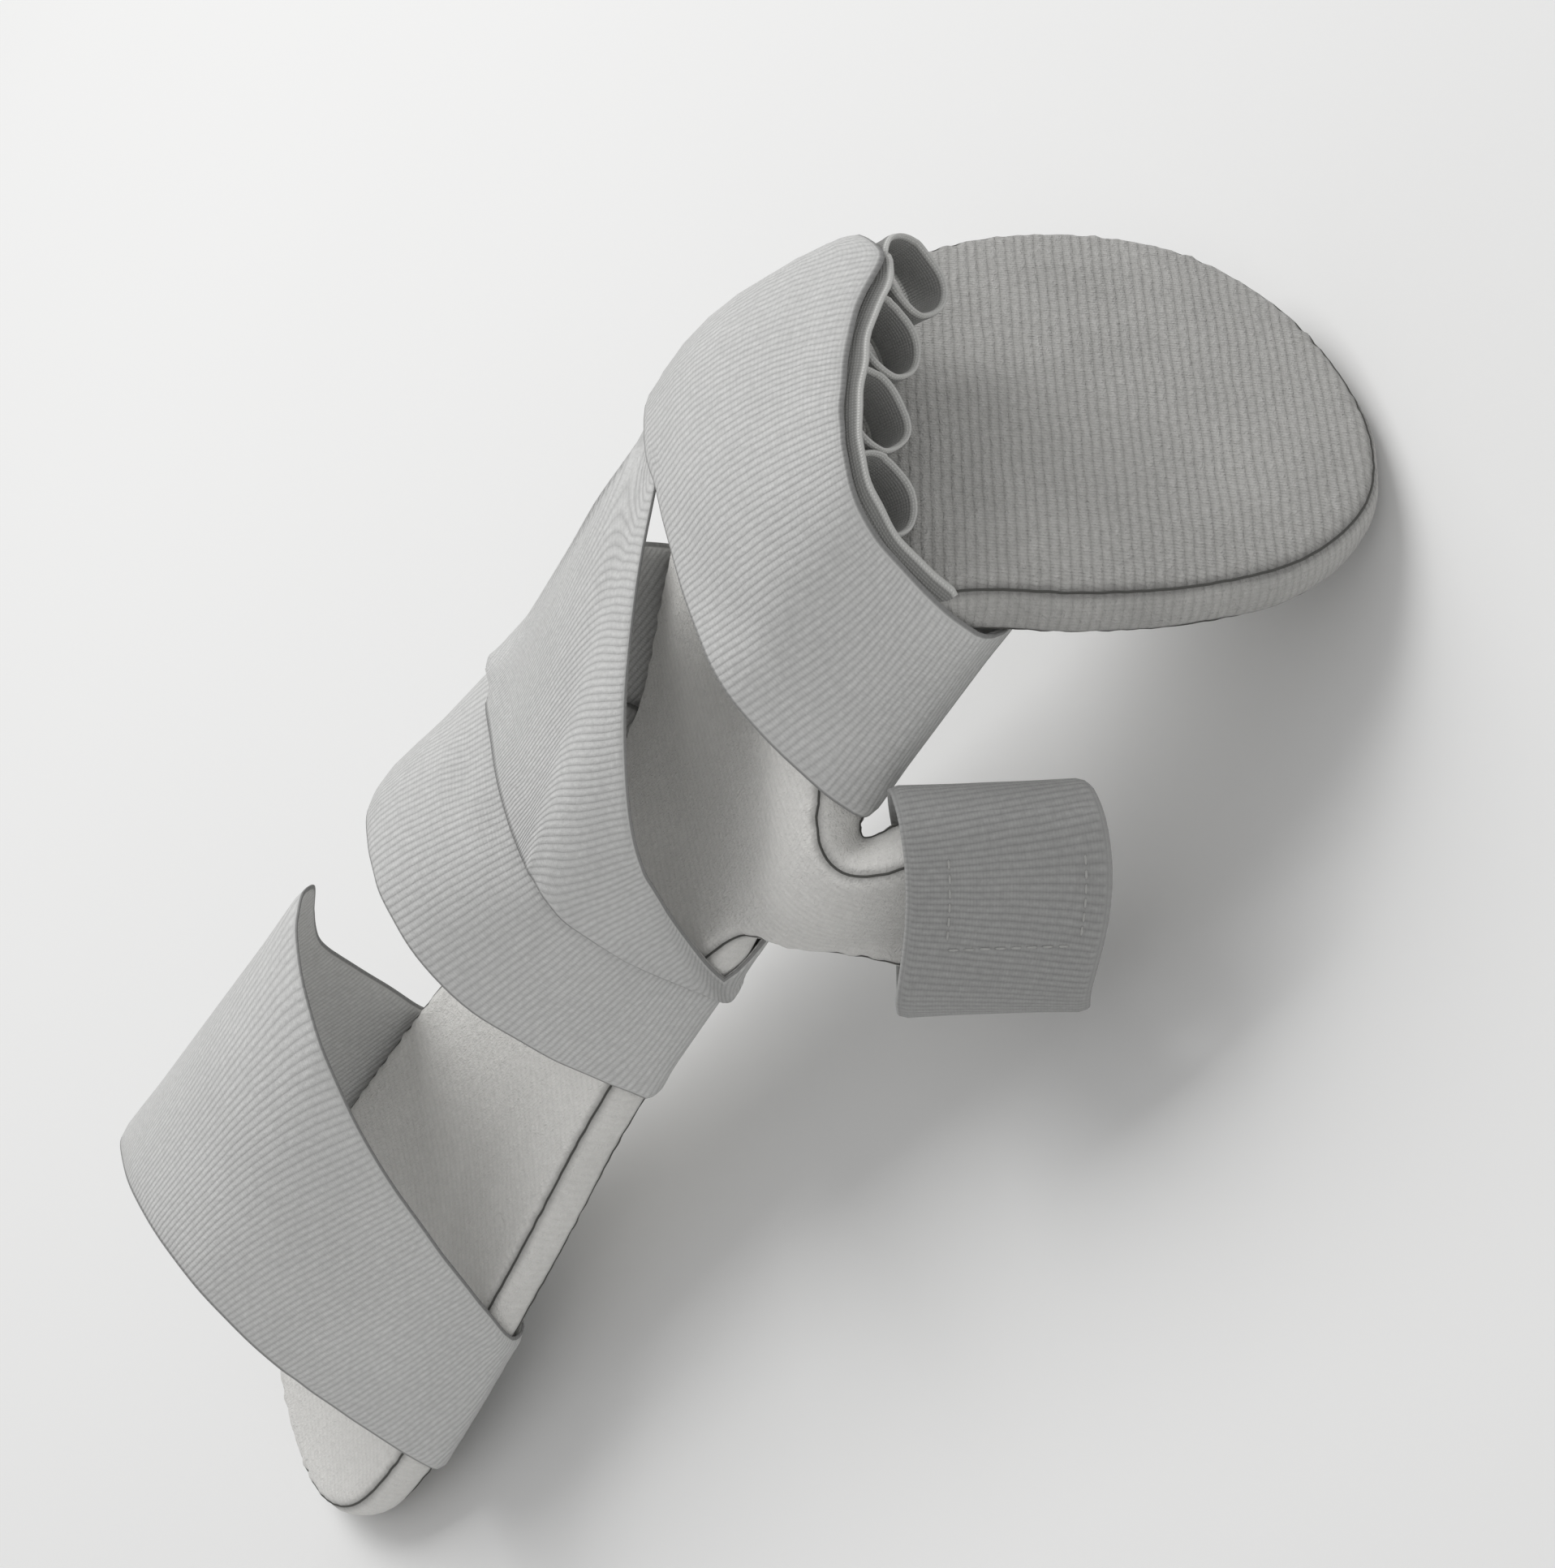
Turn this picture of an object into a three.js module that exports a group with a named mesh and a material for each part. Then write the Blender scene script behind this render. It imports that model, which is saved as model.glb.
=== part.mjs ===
// Resting splint board for a left hand, in millimetres.
// A padded board is bent to carry forearm, palm and fingers, with a side wing for the thumb.
// Elastic bands close round it, and a row of small loops keeps the fingers apart.
// It is modelled level, as if worn palm down: +X towards the fingertips, +Y towards the little
// finger, +Z away from the board. Then it is tipped to the slope at which it stands on a table.
import * as THREE from "three";
import { ConvexHull } from "three/addons/math/ConvexHull.js";
import { mergeVertices } from "three/addons/utils/BufferGeometryUtils.js";

const degrees = THREE.MathUtils.degToRad;

// Board, measured along its top face
const FOREARM_LENGTH = 189;
const PALM_LENGTH = 60;
const PAN_LENGTH = 95;
const FOREARM_WIDTH = 82;
const WRIST_WIDTH = 58;
const PALM_WIDTH = 91;
const PAN_WIDTH = 110;
const BOARD_THICKNESS = 11;
const EDGE_ROUND = 3;
const FOREARM_DISH = 5;

// Bends of the board, radii measured on the top face
const WRIST_RADIUS = 60;
const WRIST_LIFT = degrees(15.5);
const KNUCKLE_RADIUS = 23;
const KNUCKLE_DROP = degrees(83);

// Thumb wing, which leaves the palm square to the board and folds down along a slanting line
const WING_WIDTH = 33;
const WING_REACH = 107;
const WING_START = 9;
const WING_FLARE = 19;
const FOLD_AT = 15;
const FOLD_ACROSS = 34;
const FOLD_SLANT = degrees(25);
const FOLD_RADIUS = 14;
const FOLD_ANGLE = degrees(78);

// Stations along the board's line, counted from the wrist crease
const WRIST_END = WRIST_RADIUS * WRIST_LIFT;
const PALM_END = WRIST_END + PALM_LENGTH;
const PAN_START = PALM_END + KNUCKLE_RADIUS * KNUCKLE_DROP;

// Room the bands close round, sections standing on the board's top face
const ROOM = [
  { station: -200, half: 41, height: 75, shift: 0 },
  { station: -120, half: 38, height: 66, shift: 1 },
  { station: -60, half: 31, height: 60, shift: 2 },
  { station: -12, half: 29, height: 53, shift: 3 },
  { station: 30, half: 34, height: 32, shift: 0 },
  { station: 60, half: 35, height: 26, shift: -3 },
  { station: 80, half: 35, height: 16, shift: -4 },
  { station: 100, half: 33, height: 26, shift: -5 },
  { station: 112, half: 34, height: 29, shift: 0 },
];

// Bands, and how far they stand off what they lie on
const BAND_THICKNESS = 1.6;
const GAP = 0.3;
const LAYER = BAND_THICKNESS + GAP;
const BAND_REACH = 85;
const PAN_MARGIN = 12;

// Each edge of a band lies in a plane. The plane passes the board's line at a station and leans
// forwards going up and forwards going across. The front planes hold where the band crosses the
// room, the back planes hold where it crosses behind the board. Layers count bands lying beneath.
const plane = (station, lean, turn) => ({ station, lean: degrees(lean), turn: degrees(turn) });
const BROAD = { heading: degrees(125), from: -0.55, to: 0.2 };
const NARROW = { heading: degrees(140), from: -0.26, to: 0.34 };
const THUMB_SIDE = { heading: degrees(150), from: -0.2, to: 0.5 };
const BANDS = [
  {
    name: "forearm_strap",
    facing: BROAD,
    near: { front: plane(-151.5, -28, 11), back: plane(-152, -22, 10), layers: 0 },
    far: { front: plane(-92.5, -37, -14), back: plane(-97, -26, -9), layers: 0 },
  },
  {
    name: "wrist_strap",
    facing: BROAD,
    near: { front: plane(-35, -14.5, -9), back: plane(-38, -8, -4), layers: 0 },
    far: { front: plane(2, -23, -20), back: plane(-2, -8, -12), layers: 0 },
  },
  {
    name: "crossing_strap",
    facing: THUMB_SIDE,
    near: { front: plane(-1, -15, -15.5), back: plane(-6, -12, -14), layers: 1 },
    far: { front: plane(45, -55, -58), back: plane(22, -12, -32), layers: 0 },
  },
  {
    name: "hand_strap",
    facing: NARROW,
    near: { front: plane(70, -30, -14), back: plane(68, -18, -13), layers: 1 },
    far: { front: plane(137, 53, -38.5), back: plane(107, 7.5, 4.2), layers: 0 },
  },
];

// Thumb band, square to the wing and straight, round the wing's end and the room beside it
const THUMB_ROOM = { half: 11, height: 18, shift: -4 };
const THUMB_NEAR = 69;
const THUMB_FAR = 107;
const THUMB_EASE = 0.6;

// Finger loops, hung side by side under the front edge of the hand band
const LOOP_WALL = 1.3;
const LOOP_WIDTH = 16.6;
const LOOP_HEIGHT = 17.4;
const LOOP_DEPTH = 9;
const LOOP_INSET = 2;
const LOOPS = [
  { name: "finger_loop_1", across: -32, crest: 45.6 },
  { name: "finger_loop_2", across: -15, crest: 47 },
  { name: "finger_loop_3", across: 2, crest: 43.4 },
  { name: "finger_loop_4", across: 19, crest: 35.6 },
];

// Where the wing leaves the board, seen along its reach and along the board
const WING_ROOT = 0.43 * PAN_WIDTH;
const WEB_END = WING_START + WING_WIDTH + WING_FLARE / 2;
const WING_LIMIT = WING_START + WING_WIDTH + 2 * WING_FLARE;

// Steepest slope a floor may have against the level board
const MOST_TIP = degrees(45);

// Fineness of the surfaces
const OUTLINE_STEP = 10;
const FACET = 13;
const CURVE_PARTS = 2000;
const ROOM_STEP = 7;
const ROOM_SIDES = 32;
const BAND_SIDES = 40;
const BAND_STEPS = 4;
const THUMB_STEPS = 2;
const LOOP_PARTS = 8;

// Fineness of easing a band off what stands proud of it
const SAMPLE = 3;
const EASE_ROUNDS = 20;
const EASE_DEPTH = 7;
const EASE_SHARE = 0.6;

const { lerp, smoothstep } = THREE.MathUtils;

// Point, direction and normal of the board's top centreline at a station.
function boardLine(station) {
  const point = new THREE.Vector3(Math.min(station, 0), 0, 0);
  let angle = 0;
  let left = Math.max(station, 0);
  const runs = [
    { length: WRIST_END, turn: WRIST_LIFT },
    { length: PALM_LENGTH, turn: 0 },
    { length: PAN_START - PALM_END, turn: -KNUCKLE_DROP },
    { length: Infinity, turn: 0 },
  ];
  for (const run of runs) {
    const step = Math.min(left, run.length);
    const turn = run.turn ? (run.turn * step) / run.length : 0;
    const chord = turn ? (2 * step * Math.sin(turn / 2)) / turn : step;
    point.x += chord * Math.cos(angle + turn / 2);
    point.z += chord * Math.sin(angle + turn / 2);
    angle += turn;
    left -= step;
  }
  return {
    point,
    along: new THREE.Vector3(Math.cos(angle), 0, Math.sin(angle)),
    up: new THREE.Vector3(-Math.sin(angle), 0, Math.cos(angle)),
  };
}

// Carries a point of the flat pattern (station, across, height over the top face) to its bent place.
function bend(station, across, height) {
  const fold = new THREE.Vector2(Math.cos(FOLD_SLANT), -Math.sin(FOLD_SLANT));
  const out = new THREE.Vector2(-Math.sin(FOLD_SLANT), -Math.cos(FOLD_SLANT));
  const from = new THREE.Vector2(station - FOLD_AT, across + FOLD_ACROSS);
  const beyond = from.dot(out);
  const fade = smoothstep(station, WING_START - WING_WIDTH / 2, WING_START + WING_WIDTH / 4);
  const dish = FOREARM_DISH * (1 - smoothstep(station, -FOREARM_LENGTH / 3, 0));
  const rise = dish * (across / (FOREARM_WIDTH / 2)) ** 2;
  let flat = new THREE.Vector3(station, across, rise + height);
  if (beyond > 0 && fade > 0) {
    const angle = FOLD_ANGLE * fade;
    const turned = Math.min(beyond / FOLD_RADIUS, angle);
    const rest = beyond - turned * FOLD_RADIUS;
    const reach = (FOLD_RADIUS + height) * Math.sin(turned) + rest * Math.cos(turned);
    const fall = FOLD_RADIUS * (1 - Math.cos(turned)) + rest * Math.sin(turned);
    const moved = out.clone().multiplyScalar(reach - beyond);
    flat = new THREE.Vector3(
      station + moved.x,
      across + moved.y,
      rise + height * Math.cos(turned) - fall,
    );
  }
  const own = boardLine(flat.x);
  const bent = own.point.clone().addScaledVector(own.up, flat.z);
  const palm = boardLine(WRIST_END);
  const straight = palm.point
    .clone()
    .addScaledVector(palm.along, flat.x - WRIST_END)
    .addScaledVector(palm.up, flat.z);
  const share = fade * smoothstep(beyond, 0, FOLD_RADIUS * 2);
  bent.lerp(straight, share);
  bent.y = flat.y;
  return bent;
}

// Outline of the flat pattern: each knot is a station and a distance across, thumb side negative.
function outlineKnots() {
  const forearm = FOREARM_WIDTH / 2;
  const wrist = WRIST_WIDTH / 2;
  const palm = PALM_WIDTH / 2;
  const pan = PAN_WIDTH / 2;
  const wingFar = WING_START + WING_WIDTH;
  const along = (share) => PAN_START + share * PAN_LENGTH;
  return [
    [-FOREARM_LENGTH, 0],
    [-0.975 * FOREARM_LENGTH, -0.48 * forearm],
    [-0.9 * FOREARM_LENGTH, -0.84 * forearm],
    [-0.78 * FOREARM_LENGTH, -forearm],
    [-0.5 * FOREARM_LENGTH, -0.93 * forearm],
    [-0.25 * FOREARM_LENGTH, -0.2 * forearm - 0.8 * wrist],
    [-0.09 * FOREARM_LENGTH, -wrist],
    [WING_START - 0.1 * WING_WIDTH, -1.3 * wrist],
    [WING_START, -0.48 * WING_REACH],
    [WING_START, -0.7 * WING_REACH],
    [WING_START + 0.05 * WING_WIDTH, -0.87 * WING_REACH],
    [WING_START + 0.22 * WING_WIDTH, -0.97 * WING_REACH],
    [WING_START + 0.5 * WING_WIDTH + WING_FLARE / 2, -WING_REACH],
    [wingFar - 0.2 * WING_WIDTH + WING_FLARE, -0.97 * WING_REACH],
    [wingFar - 0.03 * WING_WIDTH + WING_FLARE, -0.87 * WING_REACH],
    [wingFar + 0.7 * WING_FLARE, -0.75 * WING_REACH],
    [wingFar + 0.2 * WING_FLARE, -0.62 * WING_REACH],
    [wingFar + 0.05 * WING_WIDTH, -1.28 * palm],
    [wingFar + 0.22 * WING_WIDTH, -1.13 * palm],
    [wingFar + 0.5 * WING_WIDTH, -1.05 * palm],
    [PALM_END, -palm],
    [PAN_START, -palm],
    [along(0.22), -0.92 * pan],
    [along(0.45), -0.96 * pan],
    [along(0.68), -0.9 * pan],
    [along(0.87), -0.68 * pan],
    [along(0.97), -0.36 * pan],
    [along(1), 0.05 * pan],
    [along(0.96), 0.46 * pan],
    [along(0.84), 0.8 * pan],
    [along(0.65), 0.98 * pan],
    [along(0.42), 1.03 * pan],
    [along(0.18), 0.92 * pan],
    [PAN_START, 0.86 * palm],
    [PALM_END, 0.77 * palm],
    [WRIST_END + 0.45 * PALM_LENGTH, 0.76 * palm],
    [WRIST_END, 1.08 * wrist],
    [-0.09 * FOREARM_LENGTH, wrist],
    [-0.25 * FOREARM_LENGTH, 0.2 * forearm + 0.8 * wrist],
    [-0.5 * FOREARM_LENGTH, 0.93 * forearm],
    [-0.78 * FOREARM_LENGTH, forearm],
    [-0.9 * FOREARM_LENGTH, 0.84 * forearm],
    [-0.975 * FOREARM_LENGTH, 0.48 * forearm],
  ].map(([station, across]) => new THREE.Vector3(station, across, 0));
}

function outlinePoints() {
  const curve = new THREE.CatmullRomCurve3(outlineKnots(), true, "centripetal");
  curve.arcLengthDivisions = CURVE_PARTS;
  const count = Math.round(curve.getLength() / OUTLINE_STEP);
  return Array.from({ length: count }, (_, i) => {
    const { x, y } = curve.getPointAt((i + 0.5) / count);
    return new THREE.Vector2(x, y);
  });
}

// Splits every edge longer than the limit at its middle, until none is left.
function splitLongEdges(points, triangles, limit) {
  let list = triangles;
  for (let changed = true; changed; ) {
    changed = false;
    const middles = new Map();
    const middle = (a, b) => {
      if (points[a].distanceTo(points[b]) <= limit) return -1;
      const key = a < b ? `${a}_${b}` : `${b}_${a}`;
      if (!middles.has(key)) {
        points.push(points[a].clone().lerp(points[b], 0.5));
        middles.set(key, points.length - 1);
      }
      changed = true;
      return middles.get(key);
    };
    const next = [];
    for (const [a, b, c] of list) {
      const corners = [a, b, c];
      const mids = [middle(a, b), middle(b, c), middle(c, a)];
      const split = mids.filter((m) => m >= 0).length;
      if (split === 0) next.push([a, b, c]);
      if (split === 3) {
        next.push([a, mids[0], mids[2]], [mids[0], b, mids[1]]);
        next.push([mids[2], mids[1], c], [mids[0], mids[1], mids[2]]);
      }
      if (split === 1) {
        const k = mids.findIndex((m) => m >= 0);
        const [p, q, r] = [corners[k], corners[(k + 1) % 3], corners[(k + 2) % 3]];
        next.push([p, mids[k], r], [mids[k], q, r]);
      }
      if (split === 2) {
        const k = mids.findIndex((m) => m < 0);
        const [p, q, r] = [corners[k], corners[(k + 1) % 3], corners[(k + 2) % 3]];
        const [qr, rp] = [mids[(k + 1) % 3], mids[(k + 2) % 3]];
        next.push([rp, qr, r]);
        if (points[p].distanceTo(points[qr]) < points[q].distanceTo(points[rp])) {
          next.push([p, q, qr], [p, qr, rp]);
        } else {
          next.push([p, q, rp], [q, qr, rp]);
        }
      }
    }
    list = next;
  }
  return list;
}

function meshGeometry(points, triangles) {
  const geometry = new THREE.BufferGeometry();
  const places = points.flatMap((point) => point.toArray());
  geometry.setAttribute("position", new THREE.Float32BufferAttribute(places, 3));
  geometry.setIndex(triangles.flat());
  geometry.computeVertexNormals();
  return geometry;
}

function meshPoints(geometry) {
  const place = geometry.getAttribute("position");
  return Array.from({ length: place.count }, (_, i) => new THREE.Vector3().fromBufferAttribute(place, i));
}

function meshTriangles({ index }) {
  const starts = Array.from({ length: index.count / 3 }, (_, i) => 3 * i);
  return starts.map((start) => [0, 1, 2].map((k) => index.getX(start + k)));
}

function boardGeometry() {
  const slab = new THREE.ExtrudeGeometry(new THREE.Shape(outlinePoints()), {
    depth: BOARD_THICKNESS - 2 * EDGE_ROUND,
    bevelThickness: EDGE_ROUND,
    bevelSize: EDGE_ROUND,
    bevelOffset: -EDGE_ROUND,
    bevelSegments: 1,
    steps: 1,
  });
  slab.deleteAttribute("normal");
  slab.deleteAttribute("uv");
  const merged = mergeVertices(slab, 1e-3);
  const points = meshPoints(merged);
  const triangles = splitLongEdges(points, meshTriangles(merged), FACET);
  const top = BOARD_THICKNESS - EDGE_ROUND;
  const bent = points.map((p) => bend(p.x, p.y, p.z - top));
  return meshGeometry(bent, triangles);
}

function roomAt(station) {
  const next = ROOM.findIndex((row) => row.station >= station);
  if (next <= 0) return next ? ROOM[ROOM.length - 1] : ROOM[0];
  const [a, b] = [ROOM[next - 1], ROOM[next]];
  const share = (station - a.station) / (b.station - a.station);
  const mix = (key) => lerp(a[key], b[key], share);
  return { half: mix("half"), height: mix("height"), shift: mix("shift") };
}

// Edges of the room's skin, as pairs of points.
function roomEdges() {
  const first = ROOM[0].station;
  const last = ROOM[ROOM.length - 1].station;
  const steps = Math.ceil((last - first) / ROOM_STEP);
  const rings = [];
  for (let i = 0; i <= steps; i++) {
    const station = first + ((last - first) * i) / steps;
    const { half, height, shift } = roomAt(station);
    const { point, up } = boardLine(station);
    const ring = [];
    for (let k = 0; k < ROOM_SIDES; k++) {
      const angle = (2 * Math.PI * k) / ROOM_SIDES;
      const spot = point.clone().addScaledVector(up, (height / 2) * (1 + Math.sin(angle)));
      spot.y += shift + half * Math.cos(angle);
      ring.push(spot);
    }
    rings.push(ring);
  }
  const edges = [];
  rings.forEach((ring, i) => {
    ring.forEach((spot, k) => {
      edges.push([spot, ring[(k + 1) % ROOM_SIDES]]);
      if (i) edges.push([rings[i - 1][k], spot]);
    });
  });
  return edges;
}

function meshEdges(geometry, keep) {
  const corners = meshPoints(geometry.toNonIndexed());
  const edges = [];
  for (let i = 0; i < corners.length; i += 3) {
    const tri = corners.slice(i, i + 3);
    if (!tri.every(keep)) continue;
    edges.push([tri[0], tri[1]], [tri[1], tri[2]], [tri[2], tri[0]]);
  }
  return edges;
}

// A cutting plane in space, with the direction that counts as across.
function placePlane({ station, lean, turn }) {
  const { point, along, up } = boardLine(station);
  const side = new THREE.Vector3(0, 1, 0);
  const normal = along.clone().addScaledVector(up, Math.tan(lean)).addScaledVector(side, Math.tan(turn));
  return { point, normal: normal.normalize(), side };
}

const mixPlanes = (a, b, share) => ({
  point: a.point.clone().lerp(b.point, share),
  normal: a.normal.clone().lerp(b.normal, share).normalize(),
  side: a.side,
});

function planeAxes({ point, normal, side }) {
  const across = side.clone().addScaledVector(normal, -side.dot(normal)).normalize();
  const upwards = new THREE.Vector3().crossVectors(normal, across);
  return { point, normal, across, upwards };
}

// Points where the plane cuts the edges, in the plane's own two axes.
function cut(edges, { point, normal, across, upwards }) {
  const offset = normal.dot(point);
  const spots = [];
  for (const [a, b] of edges) {
    const da = normal.dot(a) - offset;
    const db = normal.dot(b) - offset;
    if (da * db >= 0) continue;
    const spot = a.clone().lerp(b, da / (da - db)).sub(point);
    if (spot.length() < BAND_REACH) spots.push(new THREE.Vector2(spot.dot(across), spot.dot(upwards)));
  }
  return spots;
}

function farthest(spots, heading) {
  let best = spots[0];
  for (const spot of spots) {
    if (spot.dot(heading) > best.dot(heading)) best = spot;
  }
  return best;
}

// Joins loops of an inner and an outer skin into a closed tube wall.
function wallGeometry(inner, outer, sides, steps) {
  const at = (side, i, k) => side * inner.length + i * sides + (k % sides);
  const triangles = [];
  const quad = (a, b, c, d) => triangles.push([a, b, c], [a, c, d]);
  for (let k = 0; k < sides; k++) {
    for (let i = 0; i < steps; i++) {
      quad(at(1, i, k), at(1, i, k + 1), at(1, i + 1, k + 1), at(1, i + 1, k));
      quad(at(0, i, k), at(0, i + 1, k), at(0, i + 1, k + 1), at(0, i, k + 1));
    }
    quad(at(0, 0, k), at(0, 0, k + 1), at(1, 0, k + 1), at(1, 0, k));
    quad(at(0, steps, k), at(1, steps, k), at(1, steps, k + 1), at(0, steps, k + 1));
  }
  return meshGeometry([...inner, ...outer], triangles);
}

// Points spread over a mesh, closely enough to feel every bulge.
function surfaceSpots(geometry) {
  const points = meshPoints(geometry);
  splitLongEdges(points, meshTriangles(geometry), SAMPLE);
  return points;
}

// Pushes the knots of a skin out along their own headings until no spot comes through it.
function easeOff(skin, outs, sides, steps, spots) {
  const triangle = new THREE.Triangle();
  const normal = new THREE.Vector3();
  const weights = new THREE.Vector3();
  const box = new THREE.Box3().setFromPoints(skin).expandByScalar(EASE_DEPTH);
  const close = spots.filter((spot) => box.containsPoint(spot));
  for (let round = 0; round < EASE_ROUNDS; round++) {
    const push = skin.map(() => 0);
    for (let i = 0; i < steps; i++) {
      for (let k = 0; k < sides; k++) {
        const [a, b] = [i * sides + k, i * sides + ((k + 1) % sides)];
        const [c, d] = [b + sides, a + sides];
        for (const corners of [[a, b, c], [a, c, d]]) {
          triangle.set(...corners.map((n) => skin[n]));
          triangle.getNormal(normal);
          const facet = new THREE.Box3().setFromPoints([triangle.a, triangle.b, triangle.c]);
          facet.expandByScalar(EASE_DEPTH);
          for (const spot of close) {
            if (!facet.containsPoint(spot)) continue;
            const proud = normal.dot(spot) - normal.dot(triangle.a) + GAP;
            if (proud <= 0 || proud > EASE_DEPTH) continue;
            triangle.getBarycoord(spot, weights);
            if (Math.min(weights.x, weights.y, weights.z) < 0) continue;
            corners.forEach((n) => {
              push[n] = Math.max(push[n], proud);
            });
          }
        }
      }
    }
    if (Math.max(...push) < GAP / 10) break;
    skin.forEach((knot, n) => knot.addScaledVector(outs[n], push[n] * EASE_SHARE));
  }
}

// A closed band round the board and the room beside it, pulled tight from corner to corner.
// Between its two edges it runs straight, and is only pushed out where something stands proud.
function bandGeometry(edges, near, far, facing, spots) {
  const inner = [];
  const outs = [];
  for (let k = 0; k < BAND_SIDES; k++) {
    const angle = (2 * Math.PI * k) / BAND_SIDES;
    const heading = new THREE.Vector2(Math.cos(angle), Math.sin(angle));
    const front = smoothstep(Math.cos(angle - facing.heading), facing.from, facing.to);
    const first = mixPlanes(near.back, near.front, front);
    const last = mixPlanes(far.back, far.front, front);
    const touch = (share) => {
      const axes = planeAxes(mixPlanes(first, last, share));
      const spot = farthest(cut(edges, axes), heading);
      const point = axes.point.clone()
        .addScaledVector(axes.across, spot.x)
        .addScaledVector(axes.upwards, spot.y);
      const out = axes.across.clone().multiplyScalar(heading.x).addScaledVector(axes.upwards, heading.y);
      return { point, out };
    };
    const [start, end] = [touch(0), touch(1)];
    for (let i = 0; i <= BAND_STEPS; i++) {
      const share = i / BAND_STEPS;
      const { point, out } = touch(share);
      const base = start.point.clone().lerp(end.point, share);
      const lift = GAP + lerp(near.layers, far.layers, share) * LAYER;
      base.addScaledVector(out, Math.max(0, point.sub(base).dot(out)) + lift);
      inner[i * BAND_SIDES + k] = base;
      outs[i * BAND_SIDES + k] = out;
    }
  }
  easeOff(inner, outs, BAND_SIDES, BAND_STEPS, spots);
  const outer = inner.map((knot, n) => knot.clone().addScaledVector(outs[n], BAND_THICKNESS));
  return wallGeometry(inner, outer, BAND_SIDES, BAND_STEPS);
}

const splint = new THREE.Group();
const padding = new THREE.MeshStandardMaterial({ color: 0x9c9c9a, roughness: 0.95, metalness: 0 });
const webbing = new THREE.MeshStandardMaterial({ color: 0xb9b9b6, roughness: 0.9, metalness: 0 });

function addPiece(name, geometry, material) {
  const piece = new THREE.Mesh(geometry, material.clone());
  piece.name = name;
  splint.add(piece);
}

const boardForm = boardGeometry();
addPiece("padded_board", boardForm, padding);

const panRoot = boardLine(PAN_START);
const besideWing = (spot) =>
  spot.y > (spot.x > WEB_END ? -PAN_WIDTH / 2 : -WING_ROOT)
  && spot.clone().sub(panRoot.point).dot(panRoot.along) < PAN_MARGIN;
const sleeve = [...meshEdges(boardForm, besideWing), ...roomEdges()];
const boardSpots = surfaceSpots(boardForm);
const spots = boardSpots.filter(besideWing);
for (const { name, near, far, facing } of BANDS) {
  const placed = [near, far].map(({ front, back, layers }) => ({
    front: placePlane(front),
    back: placePlane(back),
    layers,
  }));
  const band = bandGeometry(sleeve, ...placed, facing, spots);
  spots.push(...surfaceSpots(band));
  addPiece(name, band, webbing);
}

const wingMiddle = WING_START + WING_WIDTH / 2 + WING_FLARE / 2;
const wingAt = (reach, height = 0) => bend(wingMiddle, -reach, height);
const wingTip = wingAt(THUMB_FAR);
const wingAlong = wingTip.clone().sub(wingAt(THUMB_NEAR)).normalize();
const wingFace = wingAt(THUMB_FAR, 1).sub(wingTip).normalize();
const wingSide = new THREE.Vector3().crossVectors(wingFace, wingAlong).normalize();

function thumbSpots() {
  const spots = [];
  for (const boardSpot of boardSpots) {
    if (boardSpot.y > -WING_ROOT || boardSpot.x > WING_LIMIT) continue;
    const spot = boardSpot.clone().sub(wingTip);
    if (spot.dot(wingAlong) < THUMB_NEAR - THUMB_FAR - SAMPLE) continue;
    spots.push(new THREE.Vector2(spot.dot(wingSide), spot.dot(wingFace)));
  }
  const { half, height, shift } = THUMB_ROOM;
  for (let k = 0; k < ROOM_SIDES; k++) {
    const angle = (2 * Math.PI * k) / ROOM_SIDES;
    spots.push(new THREE.Vector2(shift + half * Math.cos(angle), (height / 2) * (1 + Math.sin(angle))));
  }
  return spots;
}

function thumbGeometry() {
  const spots = thumbSpots();
  const [inner, outer] = [[], []];
  for (let i = 0; i <= THUMB_STEPS; i++) {
    const reach = ((THUMB_NEAR - THUMB_FAR) * (THUMB_STEPS - i)) / THUMB_STEPS;
    for (let k = 0; k < BAND_SIDES; k++) {
      const angle = (2 * Math.PI * k) / BAND_SIDES;
      const heading = new THREE.Vector2(Math.cos(angle), Math.sin(angle));
      const spot = farthest(spots, heading);
      const place = (out) => wingTip.clone()
        .addScaledVector(wingAlong, reach)
        .addScaledVector(wingSide, spot.x + out * heading.x)
        .addScaledVector(wingFace, spot.y + out * heading.y);
      inner.push(place(THUMB_EASE));
      outer.push(place(THUMB_EASE + BAND_THICKNESS));
    }
  }
  return wallGeometry(inner, outer, BAND_SIDES, THUMB_STEPS);
}
addPiece("thumb_strap", thumbGeometry(), webbing);

function stadium(width, height) {
  const shape = new THREE.Shape();
  const radius = width / 2;
  const straight = height / 2 - radius;
  shape.absarc(0, straight, radius, 0, Math.PI);
  shape.absarc(0, -straight, radius, Math.PI, 2 * Math.PI);
  shape.closePath();
  return shape;
}

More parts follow.
